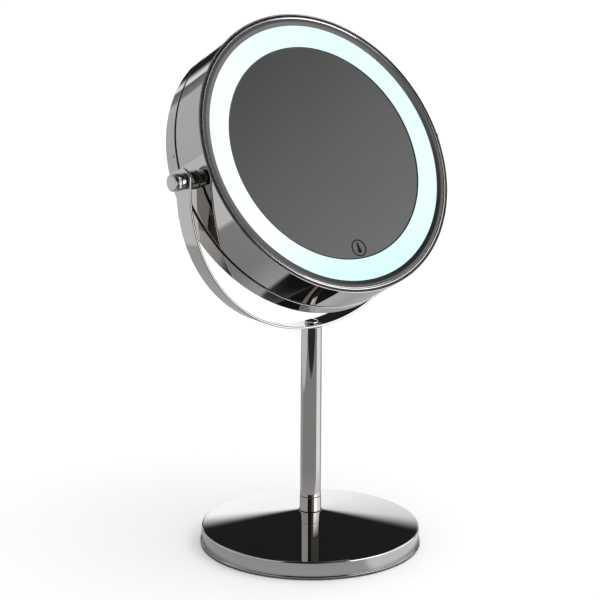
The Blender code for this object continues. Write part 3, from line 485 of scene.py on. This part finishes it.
def rounded(corners, closed=True, steps=FILLET_STEPS):
    """An outline of (radius, height[, fillet]) corners, with its fillets as arcs."""
    points = []
    count = len(corners)
    for index, corner in enumerate(corners):
        here = Vector(corner[:2])
        fillet = corner[2] if len(corner) > 2 else 0.0
        at_end = not closed and index in (0, count - 1)
        if fillet == 0.0 or at_end:
            points.append(here)
            continue
        before = Vector(corners[index - 1][:2]) - here
        after = Vector(corners[(index + 1) % count][:2]) - here
        half = before.angle(after) / 2
        reach = min(fillet / math.tan(half), 0.49 * before.length, 0.49 * after.length)
        radius = reach * math.tan(half)
        middle = (before.normalized() + after.normalized()).normalized()
        centre = here + middle * (radius / math.sin(half))
        start = here + before.normalized() * reach - centre
        end = here + after.normalized() * reach - centre
        for step in range(steps + 1):
            points.append(centre + start.slerp(end, step / steps).normalized() * radius)
    return points


def lathe(bm, outline, facets, closed=True):
    """Turns an outline about the Z axis. A point on the axis becomes one vertex."""
    rings = []
    for point in outline:
        if point[0] < 1e-7:
            rings.append([bm.verts.new((0.0, 0.0, point[1]))])
            continue
        ring = []
        for index in range(facets):
            angle = math.tau * index / facets
            x, y = point[0] * math.cos(angle), point[0] * math.sin(angle)
            ring.append(bm.verts.new((x, y, point[1])))
        rings.append(ring)
    pairs = list(zip(rings, rings[1:]))
    if closed:
        pairs.append((rings[-1], rings[0]))
    for first, second in pairs:
        for index in range(facets):
            after = (index + 1) % facets
            corners = [first[index % len(first)], first[after % len(first)]]
            corners += [second[after % len(second)], second[index % len(second)]]
            unique = list(dict.fromkeys(corners))
            if len(unique) > 2:
                bm.faces.new(unique)


def bridge(bm, rings, closed=True):
    """Joins each ring to the next. Rings that aren't closed are open rows."""
    count = len(rings[0])
    for first, second in zip(rings, rings[1:]):
        for index in range(count if closed else count - 1):
            after = (index + 1) % count
            bm.faces.new((first[index], first[after], second[after], second[index]))


def piece(name, bm, material, place, body, slot, *nodes):
    """Makes the piece from bm, sets it in place, and lets it stand for CAD nodes."""
    bmesh.ops.recalc_face_normals(bm, faces=bm.faces)
    mesh = bpy.data.meshes.new(name)
    bm.to_mesh(mesh)
    bm.free()
    mesh.shade_smooth()
    mesh.set_sharp_from_angle(angle=SHARP)
    mesh.materials.append(material)
    thing = bpy.data.objects.new(name, mesh)
    bpy.context.scene.collection.objects.link(thing)
    thing.matrix_world = place
    normals = thing.modifiers.new("even_shading", "WEIGHTED_NORMAL")
    normals.keep_sharp = True
    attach(thing, body)
    if nodes:
        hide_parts(*nodes)
    return thing


def turned(name, corners, facets, material, place, body, slot, *nodes, closed=True):
    """A piece turned from an outline. One that isn't closed starts and ends on the axis."""
    bm = bmesh.new()
    lathe(bm, rounded(corners, closed), facets, closed)
    return piece(name, bm, material, place, body, slot, *nodes)


# ---------------------------------------------------------------- stand


def make_base(looks):
    chrome = looks["chrome"]
    pad = Span("base_pad", STAND)
    corners = [(0.0, 0.0), (pad.outer, 0.0, PAD_EDGE), (pad.outer, pad.high, PAD_EDGE)]
    corners += [(0.0, pad.high)]
    turned("base_pad_foam", corners, FINE, looks["rubber"], STAND, "stand", "rubber", "base_pad",
           closed=False)

    shell = Span("base_shell", STAND)
    rim = shell.outer - BASE_LIP_OUT
    lip_top = shell.low + BASE_LIP_HEIGHT
    collar = Span("base_collar", STAND)
    crown = collar.outer + BASE_WALL
    corners = [(rim - BASE_WALL, shell.low), (shell.outer, shell.low, 0.3 * MM)]
    corners += [(shell.outer, lip_top - BASE_LIP_OUT / 2, 0.35 * MM)]
    corners += [(rim, lip_top, 0.25 * MM), (rim, BASE_RIM_TOP, 1.2 * MM)]
    corners += [(crown, shell.high, 3.0 * MM), (shell.inner, shell.high)]
    corners += [(shell.inner, shell.high - BASE_WALL), (crown, shell.high - BASE_WALL)]
    corners += [(rim - BASE_WALL, BASE_RIM_TOP - BASE_WALL)]
    turned("base_shell_polished", corners, FINE, chrome, STAND, "stand", "chrome", "base_shell")

    spigot = collar.high - COLLAR_SPIGOT
    corners = [(collar.inner, collar.low), (collar.outer, collar.low, TUBE_EDGE)]
    corners += [(collar.outer, spigot, TUBE_EDGE), (COLLAR_NECK, spigot)]
    corners += [(COLLAR_NECK, collar.high), (collar.inner, collar.high)]
    turned("collar_polished", corners, ROUND, chrome, STAND, "stand", "chrome", "base_collar")

    post = Span("post_tube", STAND)
    corners = [(post.inner, post.low), (post.outer, post.low, TUBE_EDGE)]
    corners += [(post.outer, post.high, TUBE_EDGE), (post.inner, post.high)]
    turned("post_polished", corners, 2 * ROUND, chrome, STAND, "stand", "chrome", "post_tube")


def yoke_sections():
    """(outer point, inner point, half width) along the strip, from the left end to the right."""
    low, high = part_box("yoke")
    half = high.y
    outer = high.x
    inner = outer - YOKE_THICKNESS
    centre = Vector((0.0, low.z + outer))
    end = high.z - half
    left = []
    for step in range(YOKE_END_STEPS + 1):
        angle = math.radians(90) * (1 - step / YOKE_END_STEPS)
        width = max(half * math.cos(angle), YOKE_TIP_WIDTH)
        height = end + half * math.sin(angle)
        left.append((Vector((-outer, height)), Vector((-inner, height)), width))
    bend = []
    for step in range(YOKE_STEPS + 1):
        angle = math.pi * (1 + step / YOKE_STEPS)
        spoke = Vector((math.cos(angle), math.sin(angle)))
        bend.append((centre + spoke * outer, centre + spoke * inner, half))
    right = [(Vector((-a.x, a.y)), Vector((-b.x, b.y)), width) for a, b, width in reversed(left)]
    return left + bend + right


def make_yoke(looks):
    """The strip, with small rounded edges. The studs and the screw run into it."""
    bm = bmesh.new()
    rings = []
    for outer, inner, half in yoke_sections():
        across = (inner - outer).normalized()
        bevel = min(YOKE_BEVEL, half / 2)
        section = []
        for start, away, flip in ((outer, across, -1), (inner, -across, 1)):
            for turn in (-1, 1):
                for step in range(YOKE_BEVEL_STEPS + 1):
                    angle = math.radians(90) * step / YOKE_BEVEL_STEPS
                    if turn == -1:
                        angle = math.radians(90) - angle
                    depth = bevel * (1 - math.cos(angle))
                    width = half - bevel * (1 - math.sin(angle))
                    section.append((start + away * depth, flip * turn * width))
        rings.append([bm.verts.new((point.x, width, point.y)) for point, width in section])
    bridge(bm, rings)
    bm.faces.new(rings[0])
    bm.faces.new(rings[-1])
    piece("yoke_polished", bm, looks["chrome"], STAND, "stand", "chrome", "yoke")


def make_yoke_screw(looks):
    screw = Span("yoke_screw", STAND)
    shank = 2.0 * MM
    socket = 1.4 * MM
    seat = screw.high - 1.8 * MM
    socket_floor = seat + 0.4 * MM
    dome_foot = seat + 0.5 * MM
    dome_rise = 1.3 * MM
    dome = []
    for step in range(DOME_STEPS + 1):
        angle = math.radians(90) * step / DOME_STEPS
        radius = screw.outer * math.cos(angle)
        if radius > socket:
            dome.append((radius, dome_foot + dome_rise * math.sin(angle)))
    corners = [(0.0, screw.low), (shank, screw.low, 0.3 * MM), (shank, seat)]
    corners += [(screw.outer, seat, 0.15 * MM)] + dome
    corners += [(socket, screw.high - 0.1 * MM, 0.1 * MM), (socket, socket_floor)]
    corners += [(0.0, socket_floor)]
    turned("yoke_screw_domed", corners, ROUND, looks["chrome"], STAND, "stand", "chrome",
           "yoke_screw", closed=False)


# ---------------------------------------------------------------- pivots


def make_pivot(side_name, place, looks):
    node = "pivot_bush_" + side_name
    bush = Span(node, place)
    neck = bush.high - 0.5 * MM
    edge = 0.35 * MM
    corners = [(bush.inner, bush.low), (bush.outer, bush.low, edge), (bush.outer, neck, edge)]
    corners += [(bush.outer - 0.8 * MM, bush.high, 0.2 * MM), (bush.inner, bush.high)]
    name = "bush_polished_" + side_name
    turned(name, corners, ROUND, looks["chrome"], place, "head", "chrome", node)

    edge = 0.12 * MM
    for kind, slot in (("friction_washer", "black_plastic"), ("spring_washer", "zinc")):
        node = f"{kind}_{side_name}"
        washer = Span(node, place)
        corners = [(washer.inner, washer.low, edge), (washer.outer, washer.low, edge)]
        corners += [(washer.outer, washer.high, edge), (washer.inner, washer.high, edge)]
        turned(node + "_fine", corners, ROUND, looks[slot], place, "head", slot, node)


def make_knob(looks):
    """The left side's knob, with two grooves and a knurled band."""
    node = "pivot_knob_left"
    knob = Span(node, LEFT)
    edge = 0.2 * MM
    bore_end = knob.high - KNOB_BORE_END
    cap = knob.high - KNOB_CAP
    band = cap - KNOB_GROOVE
    neck = band - KNOB_BAND
    root = neck - KNOB_LINE
    waist = knob.outer - KNOB_DEPTH
    corners = [(0.0, bore_end), (KNOB_BORE, bore_end), (KNOB_BORE, knob.low)]
    corners += [(knob.outer, knob.low, edge), (knob.outer, root, edge)]
    corners += [(waist, root), (waist, neck)]
    corners += [(knob.outer, neck, edge), (knob.outer, band, edge), (waist, band), (waist, cap)]
    corners += [(knob.outer, cap, edge), (knob.outer - 0.1 * MM, knob.high - 0.4 * MM, edge)]
    corners += [(knob.outer - 0.8 * MM, knob.high, edge), (0.0, knob.high)]
    turned("knob_polished_left", corners, ROUND, looks["chrome"], LEFT, "head", "chrome", node,
           closed=False)

    bm = bmesh.new()
    half_width = math.pi * knob.outer / KNURLS * KNURL_FILL
    for index in range(KNURLS):
        angle = math.tau * index / KNURLS
        spoke = Vector((math.cos(angle), math.sin(angle), 0.0))
        across = Vector((-math.sin(angle), math.cos(angle), 0.0)) * half_width
        foot = spoke * (knob.outer - KNURL_SINK)
        tip = spoke * (knob.outer + KNURL_RISE)
        ends = []
        for height, inwards in ((neck + KNURL_INSET, 1), (band - KNURL_INSET, -1)):
            lift = Vector((0.0, 0.0, height))
            tip_lift = Vector((0.0, 0.0, height + inwards * KNURL_INSET / 2))
            corners = (foot - across + lift, tip + tip_lift, foot + across + lift)
            ends.append([bm.verts.new(corner) for corner in corners])
        bridge(bm, ends)
        bm.faces.new(ends[0])
        bm.faces.new(ends[1])
    piece("knob_knurls_left", bm, looks["chrome"], LEFT, "head", "chrome")


def make_cap(looks):
    """The right side's low cap, hidden behind the drum from the front left."""
    node = "pivot_knob_right"
    cap = Span(node, RIGHT)
    edge = 0.3 * MM
    bore_end = cap.high - 0.6 * MM
    corners = [(0.0, bore_end), (KNOB_BORE, bore_end), (KNOB_BORE, cap.low)]
    corners += [(cap.outer - 0.3 * MM, cap.low, edge)]
    corners += [(cap.outer - 0.4 * MM, cap.high - 0.9 * MM, edge)]
    corners += [(cap.outer - 1.8 * MM, cap.high, edge), (0.0, cap.high)]
    turned("cap_polished_right", corners, ROUND, looks["chrome"], RIGHT, "head", "chrome", node,
           closed=False)


# ---------------------------------------------------------------- drum


def make_front_shell(looks):
    shell = Span("head_shell", HEAD)
    bezel = Span("front_bezel", HEAD)
    lip = shell.outer - SHELL_LIP
    low = shell.low + SEAM_EASE
    corners = [(shell.inner, low), (shell.outer, low, SEAM_EDGE)]
    corners += [(shell.outer, shell.high, SHELL_EDGE)]
    corners += [(lip, shell.high, SHELL_EDGE), (lip, SHELL_STEP), (shell.inner, SHELL_STEP)]
    turned("front_shell_polished", corners, FINE, looks["shell"], HEAD, "head", "plated_shell",
           "head_shell")

    top = shell.high
    bead_outer = bezel.outer - BEZEL_GROOVE_WIDTH
    bead_inner = bead_outer - BEZEL_BEAD_WIDTH
    bead = []
    for step in range(BEAD_STEPS + 1):
        angle = math.pi * step / BEAD_STEPS
        radius = bead_inner + BEZEL_BEAD_WIDTH / 2 * (1 + math.cos(angle))
        bead.append((radius, top + BEZEL_BEAD_RISE * math.sin(angle)))
    skirt = bezel.outer - BEZEL_SKIRT
    under = Span("light_ring", HEAD).high + 0.3 * MM
    line = bead_inner - BEZEL_LINE
    corners = [(skirt, bezel.low), (bezel.outer, bezel.low), (bezel.outer, top - BEZEL_GROOVE)]
    corners += [(bead_outer, top - BEZEL_GROOVE, 0.2 * MM)] + bead
    corners += [(bead_inner, top - BEZEL_LINE), (line, top - BEZEL_LINE)]
    corners += [(line, top - 0.1 * MM, 0.1 * MM), (line - 1.8 * MM, top - 0.15 * MM, 1.2 * MM)]
    corners += [(bezel.inner, under + BEZEL_LIP, 0.15 * MM), (bezel.inner, under)]
    corners += [(skirt, under)]
    turned("bezel_polished", corners, FINE, looks["bezel"], HEAD, "head", "plated_shell",
           "front_bezel")

    # Painted shade: a black ring down in the groove between the shell's lip and the bezel,
    # standing for the groove's shadow.
    top -= GROOVE_SHADE_DEPTH
    inner = bead_outer - 0.1 * MM
    outer = lip + 0.05 * MM
    corners = [(inner, top - GROOVE_SHADE_THICKNESS), (outer, top - GROOVE_SHADE_THICKNESS)]
    corners += [(outer, top), (inner, top)]
    turned("bezel_groove_painted_shade", corners, FINE, looks["black_plastic"], HEAD, "head", "black_plastic")


def make_optics(looks):
    ring = Span("light_ring", HEAD)
    edge = 0.25 * MM
    corners = [(ring.inner, ring.low), (ring.outer, ring.low)]
    corners += [(ring.outer, ring.high), (ring.inner, ring.high, edge)]
    turned("light_ring_frosted", corners, FINE, looks["diffuser"], HEAD, "head", "diffuser",
           "light_ring")

    glass = Span("front_mirror", HEAD)
    corners = [(0.0, glass.low), (glass.outer, glass.low)]
    corners += [(glass.outer, glass.high - GLASS_BEVEL)]
    corners += [(glass.outer - GLASS_BEVEL, glass.high), (0.0, glass.high)]
    turned("front_glass_bevelled", corners, FINE, looks["mirror_glass"], HEAD, "head",
           "mirror_glass", "front_mirror", closed=False)
    make_touch_icon(glass.high, looks)

    # Painted shade: a black ring fills the gap between the glass and the light ring and stands
    # for the gap's shadow.
    low = glass.high - 0.2 * MM
    high = ring.high - 0.1 * MM
    gap_shade_inner = ring.inner - GAP_SHADE_WIDTH
    outer = ring.inner - 0.02 * MM
    corners = [(gap_shade_inner, low), (outer, low), (outer, high)]
    corners += [(ring.inner - 0.3 * MM, high), (gap_shade_inner, glass.high + 0.05 * MM)]
    turned("glass_gap_painted_shade", corners, FINE, looks["black_plastic"], HEAD, "head", "black_plastic")


def make_touch_icon(height, looks):
    """Ring with a generic finger sign in it: a round tip and a tapering stroke above it."""
    bm = bmesh.new()
    outline = [(ICON_RADIUS - ICON_LINE, 0.0), (ICON_RADIUS, 0.0), (ICON_RADIUS, ICON_RISE)]
    outline += [(ICON_RADIUS - ICON_LINE, ICON_RISE)]
    lathe(bm, outline, FINE)
    tip_radius = 1.45 * MM
    tip_height = -1.6 * MM
    stroke_top = 2.9 * MM
    stroke_half = 0.55 * MM
    points = []
    for step in range(SMALL + 1):
        angle = math.radians(TIP_START + TIP_TURN * step / SMALL)
        points.append((tip_radius * math.cos(angle), tip_height + tip_radius * math.sin(angle)))
    for step in range(DOME_STEPS + 1):
        angle = math.pi * step / DOME_STEPS
        points.append((stroke_half * math.cos(angle), stroke_top + stroke_half * math.sin(angle)))
    low = [bm.verts.new((x, y, 0.0)) for x, y in points]
    top = [bm.verts.new((x, y, ICON_RISE)) for x, y in points]
    bm.faces.new(low)
    bm.faces.new(top)
    bridge(bm, [low, top])
    place = HEAD @ Matrix.Translation((0.0, -TOUCH_BELOW, height))
    piece("touch_icon", bm, looks["ink"], place, "head", "black_plastic")


def make_ring(cover, looks):
    """The black ring in the seam, with the lugs that lock behind the battery tray."""
    ring = Span("bayonet_ring", HEAD)
    seam_front = Span("head_shell", HEAD).low - SEAM_GAP
    seam_back = cover.high + SEAM_GAP
    seam = ring.outer - SEAM_DEPTH
    spigot = cover.outer - SPIGOT_IN
    inner = spigot - SPIGOT_WALL
    corners = [(inner, ring.low), (spigot, ring.low, RING_EDGE), (spigot, seam_back)]
    corners += [(seam, seam_back, RING_EDGE), (seam, seam_front, RING_EDGE)]
    corners += [(spigot, seam_front), (spigot, ring.high, RING_EDGE), (inner, ring.high)]
    bm = bmesh.new()
    lathe(bm, rounded(corners), FINE)
    for index in range(LUG_COUNT):
        middle = LUG_FIRST + math.tau * index / LUG_COUNT
        add_lug(bm, middle, ring.inner, inner + LUG_ROOT, ring.high - LUG_THICKNESS, ring.high)
    piece("bayonet_ring_fine", bm, looks["black_plastic"], HEAD, "bayonet_ring",
          "black_plastic", "bayonet_ring")


def add_lug(bm, middle, inner, outer, low, high):
    rings = []
    for step in range(LUG_STEPS + 1):
        angle = middle - LUG_HALF + 2 * LUG_HALF * step / LUG_STEPS
        spoke = Vector((math.cos(angle), math.sin(angle), 0.0))
        ring = []
        for radius, height in ((inner, low), (outer, low), (outer, high), (inner, high)):
            ring.append(bm.verts.new(spoke * radius + Vector((0.0, 0.0, height))))
        rings.append(ring)
    bridge(bm, rings)
    bm.faces.new(rings[0])
    bm.faces.new(rings[-1])


def make_cover(cover, looks):
    wall = cover.outer - COVER_WALL
    high = cover.high - SEAM_EASE
    flange = cover.low + COVER_FLANGE
    corners = [(wall, high), (wall, flange), (cover.inner, flange)]
    corners += [(cover.inner, cover.low + REAR_SLOPE_DROP, 0.2 * MM)]
    corners += [(cover.inner + REAR_SLOPE, cover.low, 0.8 * MM)]
    corners += [(cover.outer, cover.low, REAR_ROUND), (cover.outer, high, SEAM_EDGE)]
    turned("rear_shell_polished", corners, FINE, looks["shell"], HEAD, "rear_cover",
           "plated_shell", "rear_cover")


def make_rear_glass(looks):
    """The concave glass: an even thickness on a sphere's curve."""
    glass = Span("rear_mirror", HEAD)
    sag = math.sqrt(REAR_GLASS_CURVE**2 - glass.outer**2)
    back = []
    for step in range(REAR_GLASS_STEPS + 1):
        distance = glass.outer * step / REAR_GLASS_STEPS
        back.append((distance, glass.low + math.sqrt(REAR_GLASS_CURVE**2 - distance**2) - sag))
    face = [(radius, height + REAR_GLASS_THICKNESS) for radius, height in reversed(back)]
    bm = bmesh.new()
    lathe(bm, back + face, FINE, closed=False)
    piece("rear_glass_concave", bm, looks["mirror_glass"], HEAD, "rear_cover", "mirror_glass",
          "rear_mirror")


def make_mark(cover, looks):
    """Small hollow triangle beside the seam that shows where the cover locks."""
    bm = bmesh.new()
    height = cover.high - MARK_BEHIND_SEAM
    radius = cover.outer + MARK_PROUD
    rings = []
    for scale in (1.0, MARK_HOLE):
        for depth in (0.0, -MARK_SINK):
            ring = []
            for corner in range(3):
                angle = math.radians(90 + 120 * corner)
                across = MARK_SIZE / math.sqrt(3) * scale * math.cos(angle)
                along = MARK_SIZE / math.sqrt(3) * scale * math.sin(angle)
                turn = MARK_ANGLE + across / radius
                spoke = Vector((math.cos(turn), math.sin(turn), 0.0)) * (radius + depth)
                lift = Vector((0.0, 0.0, height - MARK_SIZE / 2 + along))
                ring.append(bm.verts.new(spoke + lift))
            rings.append(ring)
    outer_top, outer_low, inner_top, inner_low = rings
    bridge(bm, [outer_top, inner_top, inner_low, outer_low, outer_top])
    piece("lock_mark", bm, looks["ink"], HEAD, "rear_cover", "black_plastic")


# ---------------------------------------------------------------- carried-over CAD nodes


def repaint(looks):
    """The hidden CAD nodes keep their shapes and get these materials."""
    kinds = {
        "base_weight": "iron",
        "base_washer": "zinc",
        "base_bolt": "zinc",
        "post_bottom_insert": "zinc",
        "post_top_insert": "zinc",
        "inner_frame": "white_plastic",
        "led_board": "led_board",
        "touch_sensor": "copper",
        "touch_spring": "zinc",
        "control_board": "green_board",
        "battery_tray": "black_plastic",
        "rear_mirror_backing": "black_plastic",
    }
    for side_name in ("left", "right"):
        kinds["pivot_nut_" + side_name] = "zinc"
        kinds["pivot_stud_" + side_name] = "zinc"
    for number in range(1, 5):
        kinds[f"tray_screw_{number}"] = "zinc"
        kinds[f"battery_cell_{number}"] = "cell"
        kinds[f"contact_spring_{number}"] = "zinc"
        kinds[f"contact_plate_{number}"] = "zinc"
    for node, kind in kinds.items():
        thing = frame["nodes"][node]
        for slot in thing.material_slots:
            slot.material = looks[kind]


# ---------------------------------------------------------------- studio


def glow_material(name):
    """Emission whose strength is painted on the mesh."""
    material = bpy.data.materials.new(name)
    material.use_nodes = True
    tree = material.node_tree
    tree.nodes.clear()
    out = tree.nodes.new("ShaderNodeOutputMaterial")
    emission = tree.nodes.new("ShaderNodeEmission")
    attribute = tree.nodes.new("ShaderNodeAttribute")
    attribute.attribute_name = "light"
    tree.links.new(attribute.outputs["Fac"], emission.inputs["Strength"])
    tree.links.new(emission.outputs["Emission"], out.inputs["Surface"])
    return material


def only_in_reflections(thing):
    thing.visible_camera = False
    thing.visible_diffuse = False
    thing.visible_transmission = False
    thing.visible_volume_scatter = False
    thing.visible_shadow = False


def ease(value, low, high):
    """0 up to low, 1 from high on, and smooth between."""
    share = min(max((value - low) / (high - low), 0.0), 1.0)
    return share * share * (3 - 2 * share)


def fade(value, limits):
    """1 up to the first limit, 0 from the second on."""
    return 1 - ease(value, *limits)


def between(value, low, high, soft):
    """1 from low to high, with soft edges."""
    return ease(value, low - soft, low + soft) * (1 - ease(value, high - soft, high + soft))


def wall_light(azimuth, elevation):
    """Brightness of the studio's walls. Azimuth 0 is away from the camera, 90 to its right."""
    backdrop = BACKDROP_LIGHT - BACKDROP_FALL * azimuth
    backdrop *= between(azimuth, *BACKDROP_SPAN, BACKDROP_BLUR)
    backdrop *= fade(elevation, BACKDROP_TOP)
    strip = STRIP_LIGHT * ease(azimuth, *STRIP_RISE) * fade(azimuth, STRIP_FADE)
    strip *= fade(elevation, STRIP_TOP)
    gap = GAP_LIGHT - GAP_FALL * (azimuth - GAP_SPAN[0])
    gap *= between(azimuth, *GAP_SPAN, GAP_BLUR)
    gap *= fade(elevation, GAP_TOP)
    left = LEFT_LIGHT * between(azimuth, *LEFT_SPAN, LEFT_BLUR) * fade(elevation, LEFT_TOP)
    right = RIGHT_LIGHT * between(azimuth, *RIGHT_SPAN, RIGHT_BLUR) * fade(elevation, RIGHT_TOP)
    return WALL_DARK + backdrop + strip + gap + left + right


def table_light(away, right):
    """Brightness of the table, in metres from the stand away from the camera and to its right."""
    distance = math.hypot(away, right)
    azimuth = math.degrees(math.atan2(right, away))
    light = TABLE_LIGHT + TABLE_NEAR_LIGHT * fade(distance, TABLE_NEAR)
    light += TABLE_BEHIND_LIGHT * ease(away, *TABLE_BEHIND)
    end = SECTOR_END + SECTOR_END_NEAR * fade(distance, SECTOR_END_WITHIN)
    level = SECTOR_LIGHT - SECTOR_DIM * fade(distance, SECTOR_DIM_WITHIN)
    light += (level - light) * between(azimuth, SECTOR_START, end, SECTOR_BLUR)
    light += (TABLE_LEFT_LIGHT - light) * ease(-right, *TABLE_LEFT)
    in_front = ease(-away, *FRONT_BEYOND) * fade(abs(right), FRONT_WITHIN)
    light += (FRONT_DARK - light) * in_front
    behind = ease(away, *FAR_BEYOND) * fade(abs(right), FAR_WITHIN)
    light += (FAR_LIGHT - light) * behind
    # Painted shadow: darker under the base.
    return light * ease(distance, *STAND_SHADE)


def softbox_light(azimuth, height):
    """Brightness of the softbox: more at the right, fading at its top edge."""
    light = SOFTBOX_LIGHT + SOFTBOX_MORE * ease(azimuth, *SOFTBOX_MORE_FROM)
    return light * (1 - ease(height, SOFTBOX_FADE, SOFTBOX_HEIGHTS[1]))


def grid_card(name, studio, rows, closed):
    """A card of ((x, y, z), brightness) rows, which a closed one joins end to end."""
    bm = bmesh.new()
    layer = bm.verts.layers.float.new("light")
    rings = []
    for row in rows:
        ring = []
        for place, light in row:
            vertex = bm.verts.new(place)
            vertex[layer] = light
            ring.append(vertex)
        rings.append(ring)
    bridge(bm, rings, closed)
    add_card(name, bm, studio)


def wall_row(elevation):
    lift = math.radians(elevation)
    row = []
    for azimuth in range(-180, 180):
        turn = math.radians(azimuth)
        flat = math.cos(lift)
        direction = Vector((math.sin(turn) * flat, math.cos(turn) * flat, math.sin(lift)))
        row.append((direction * WALL_RADIUS, wall_light(azimuth, elevation)))
    return row


def table_row(step):
    """The rows are closer near the stand."""
    distance = TABLE_INNER * (TABLE_OUTER / TABLE_INNER) ** (step / TABLE_STEPS)
    row = []
    for azimuth in range(-180, 180, CARD_TURN):
        turn = math.radians(azimuth)
        right, away = distance * math.sin(turn), distance * math.cos(turn)
        row.append(((right, away, 0.0), table_light(away, right)))
    return row


def softbox_row(step):
    first, last = SOFTBOX_AZIMUTHS
    low, high = SOFTBOX_HEIGHTS
    height = low + (high - low) * step / SOFTBOX_STEPS
    row = []
    for azimuth in range(first, last + 1, CARD_TURN):
        turn = math.radians(azimuth)
        place = (SOFTBOX_RADIUS * math.sin(turn), SOFTBOX_RADIUS * math.cos(turn), height)
        row.append((place, softbox_light(azimuth, height)))
    return row


def make_reflections(studio):
    """What the chrome mirrors: a dark studio with a backdrop, panels, a table and a softbox."""
    walls = [wall_row(elevation) for elevation in range(-90, 91)]
    table = [table_row(step) for step in range(TABLE_STEPS + 1)]
    softbox = [softbox_row(step) for step in range(SOFTBOX_STEPS + 1)]
    grid_card("studio_walls", studio, walls, True)
    grid_card("studio_table", studio, table, True)
    grid_card("studio_softbox", studio, softbox, False)


def add_card(name, bm, studio):
    mesh = bpy.data.meshes.new(name)
    bm.to_mesh(mesh)
    bm.free()
    mesh.materials.append(glow_material(name))
    card = bpy.data.objects.new(name, mesh)
    bpy.context.scene.collection.objects.link(card)
    card.matrix_world = studio
    only_in_reflections(card)


def make_floor():
    bm = bmesh.new()
    bmesh.ops.create_grid(bm, x_segments=2, y_segments=2, size=FLOOR_HALF)
    mesh = bpy.data.meshes.new("floor")
    bm.to_mesh(mesh)
    bm.free()
    look = Shader("floor", (0.93, 0.93, 0.93), 0.6)
    shade = look.blend(look.noise(3.0), (0.93, 0.93, 0.93), (0.945, 0.945, 0.945))
    look.link(shade, "Base Color")
    look.set("Specular IOR Level", 0.0)
    mesh.materials.append(look.material)
    floor = bpy.data.objects.new("floor", mesh)
    bpy.context.scene.collection.objects.link(floor)
    floor.visible_glossy = False


def make_lights(studio):
    world = bpy.data.worlds.new("studio")
    world.use_nodes = True
    background = world.node_tree.nodes["Background"]
    background.inputs["Color"].default_value = (1.0, 1.0, 1.0, 1.0)
    tree = world.node_tree
    paths = tree.nodes.new("ShaderNodeLightPath")
    seen = tree.nodes.new("ShaderNodeMapRange")
    seen.inputs["To Min"].default_value = GROUND_LIGHT
    seen.inputs["To Max"].default_value = SKY_SEEN
    tree.links.new(paths.outputs["Is Camera Ray"], seen.inputs["Value"])
    tree.links.new(seen.outputs["Result"], background.inputs["Strength"])
    bpy.context.scene.world = world

    data = bpy.data.lights.new("top_light", "SUN")
    data.energy = SUN_ENERGY
    data.angle = SUN_SPREAD
    light = bpy.data.objects.new("top_light", data)
    bpy.context.scene.collection.objects.link(light)
    light.matrix_world = studio @ Matrix.Rotation(SUN_TILT, 4, "Y")
    light.visible_glossy = False


def make_camera():
    sine, cosine = math.sin(CAMERA_AZIMUTH), math.cos(CAMERA_AZIMUTH)
    lift, flat = math.sin(CAMERA_ELEVATION), math.cos(CAMERA_ELEVATION)
    back = Vector((-sine * flat, -cosine * flat, lift))
    right = Vector((cosine, -sine, 0.0))
    top = back.cross(right)
    target = Vector((0.0, 0.0, CAMERA_TARGET_HEIGHT)) + right * CAMERA_TARGET_SIDE
    data = bpy.data.cameras.new("camera")
    data.lens = CAMERA_LENS
    data.sensor_width = CAMERA_SENSOR
    data.clip_start = CAMERA_NEAR
    data.clip_end = CAMERA_FAR
    camera = bpy.data.objects.new("camera", data)
    bpy.context.scene.collection.objects.link(camera)
    rolled = math.cos(CAMERA_ROLL) * right + math.sin(CAMERA_ROLL) * top
    rolled_top = math.cos(CAMERA_ROLL) * top - math.sin(CAMERA_ROLL) * right
    turn = Matrix((rolled, rolled_top, back)).transposed().to_4x4()
    camera.matrix_world = Matrix.Translation(target + back * CAMERA_DISTANCE) @ turn
    bpy.context.scene.camera = camera


def main():
    chrome = (0.56, 0.545, 0.535)
    worn = (0.50, 0.49, 0.48)
    bezel = (0.80, 0.80, 0.815)
    bezel_worn = (0.72, 0.72, 0.73)
    black, black_rubbed = (0.006, 0.006, 0.007), (0.03, 0.03, 0.031)
    white, white_rubbed = (0.82, 0.82, 0.80), (0.9, 0.9, 0.89)
    looks = {
        "chrome": plated("chrome", chrome, worn, 0.012, 0.01 * MM),
        "shell": plated("plated_shell", chrome, worn, 0.015, 0.12 * MM),
        "bezel": plated("plated_bezel", bezel, bezel_worn, 0.012, 0.15 * MM),
        "mirror_glass": mirror_glass(),
        "diffuser": lit_diffuser(),
        "rubber": rubber(),
        "iron": cast_iron(),
        "zinc": zinc_plate(),
        "black_plastic": moulded("black_plastic", black, black_rubbed, 0.45, 1600.0),
        "white_plastic": moulded("white_plastic", white, white_rubbed, 0.4, 1300.0),
        "led_board": circuit_board("led_board", (0.86, 0.86, 0.82), (0.78, 0.76, 0.60)),
        "green_board": circuit_board("green_board", (0.02, 0.17, 0.07), (0.05, 0.30, 0.13)),
        "copper": copper_pad(),
        "cell": cell_sleeve(),
        "ink": ink(),
    }
    make_base(looks)
    make_yoke(looks)
    make_yoke_screw(looks)
    make_pivot("left", LEFT, looks)
    make_knob(looks)
    make_pivot("right", RIGHT, looks)
    make_cap(looks)
    make_front_shell(looks)
    make_optics(looks)
    cover = Span("rear_cover", HEAD)
    make_cover(cover, looks)
    make_rear_glass(looks)
    make_mark(cover, looks)
    make_ring(cover, looks)
    repaint(looks)

    studio = Matrix.Rotation(-CAMERA_AZIMUTH, 4, "Z")
    make_reflections(studio)
    make_floor()
    make_lights(studio)
    make_camera()
    bpy.context.scene.view_settings.view_transform = "Standard"


main()
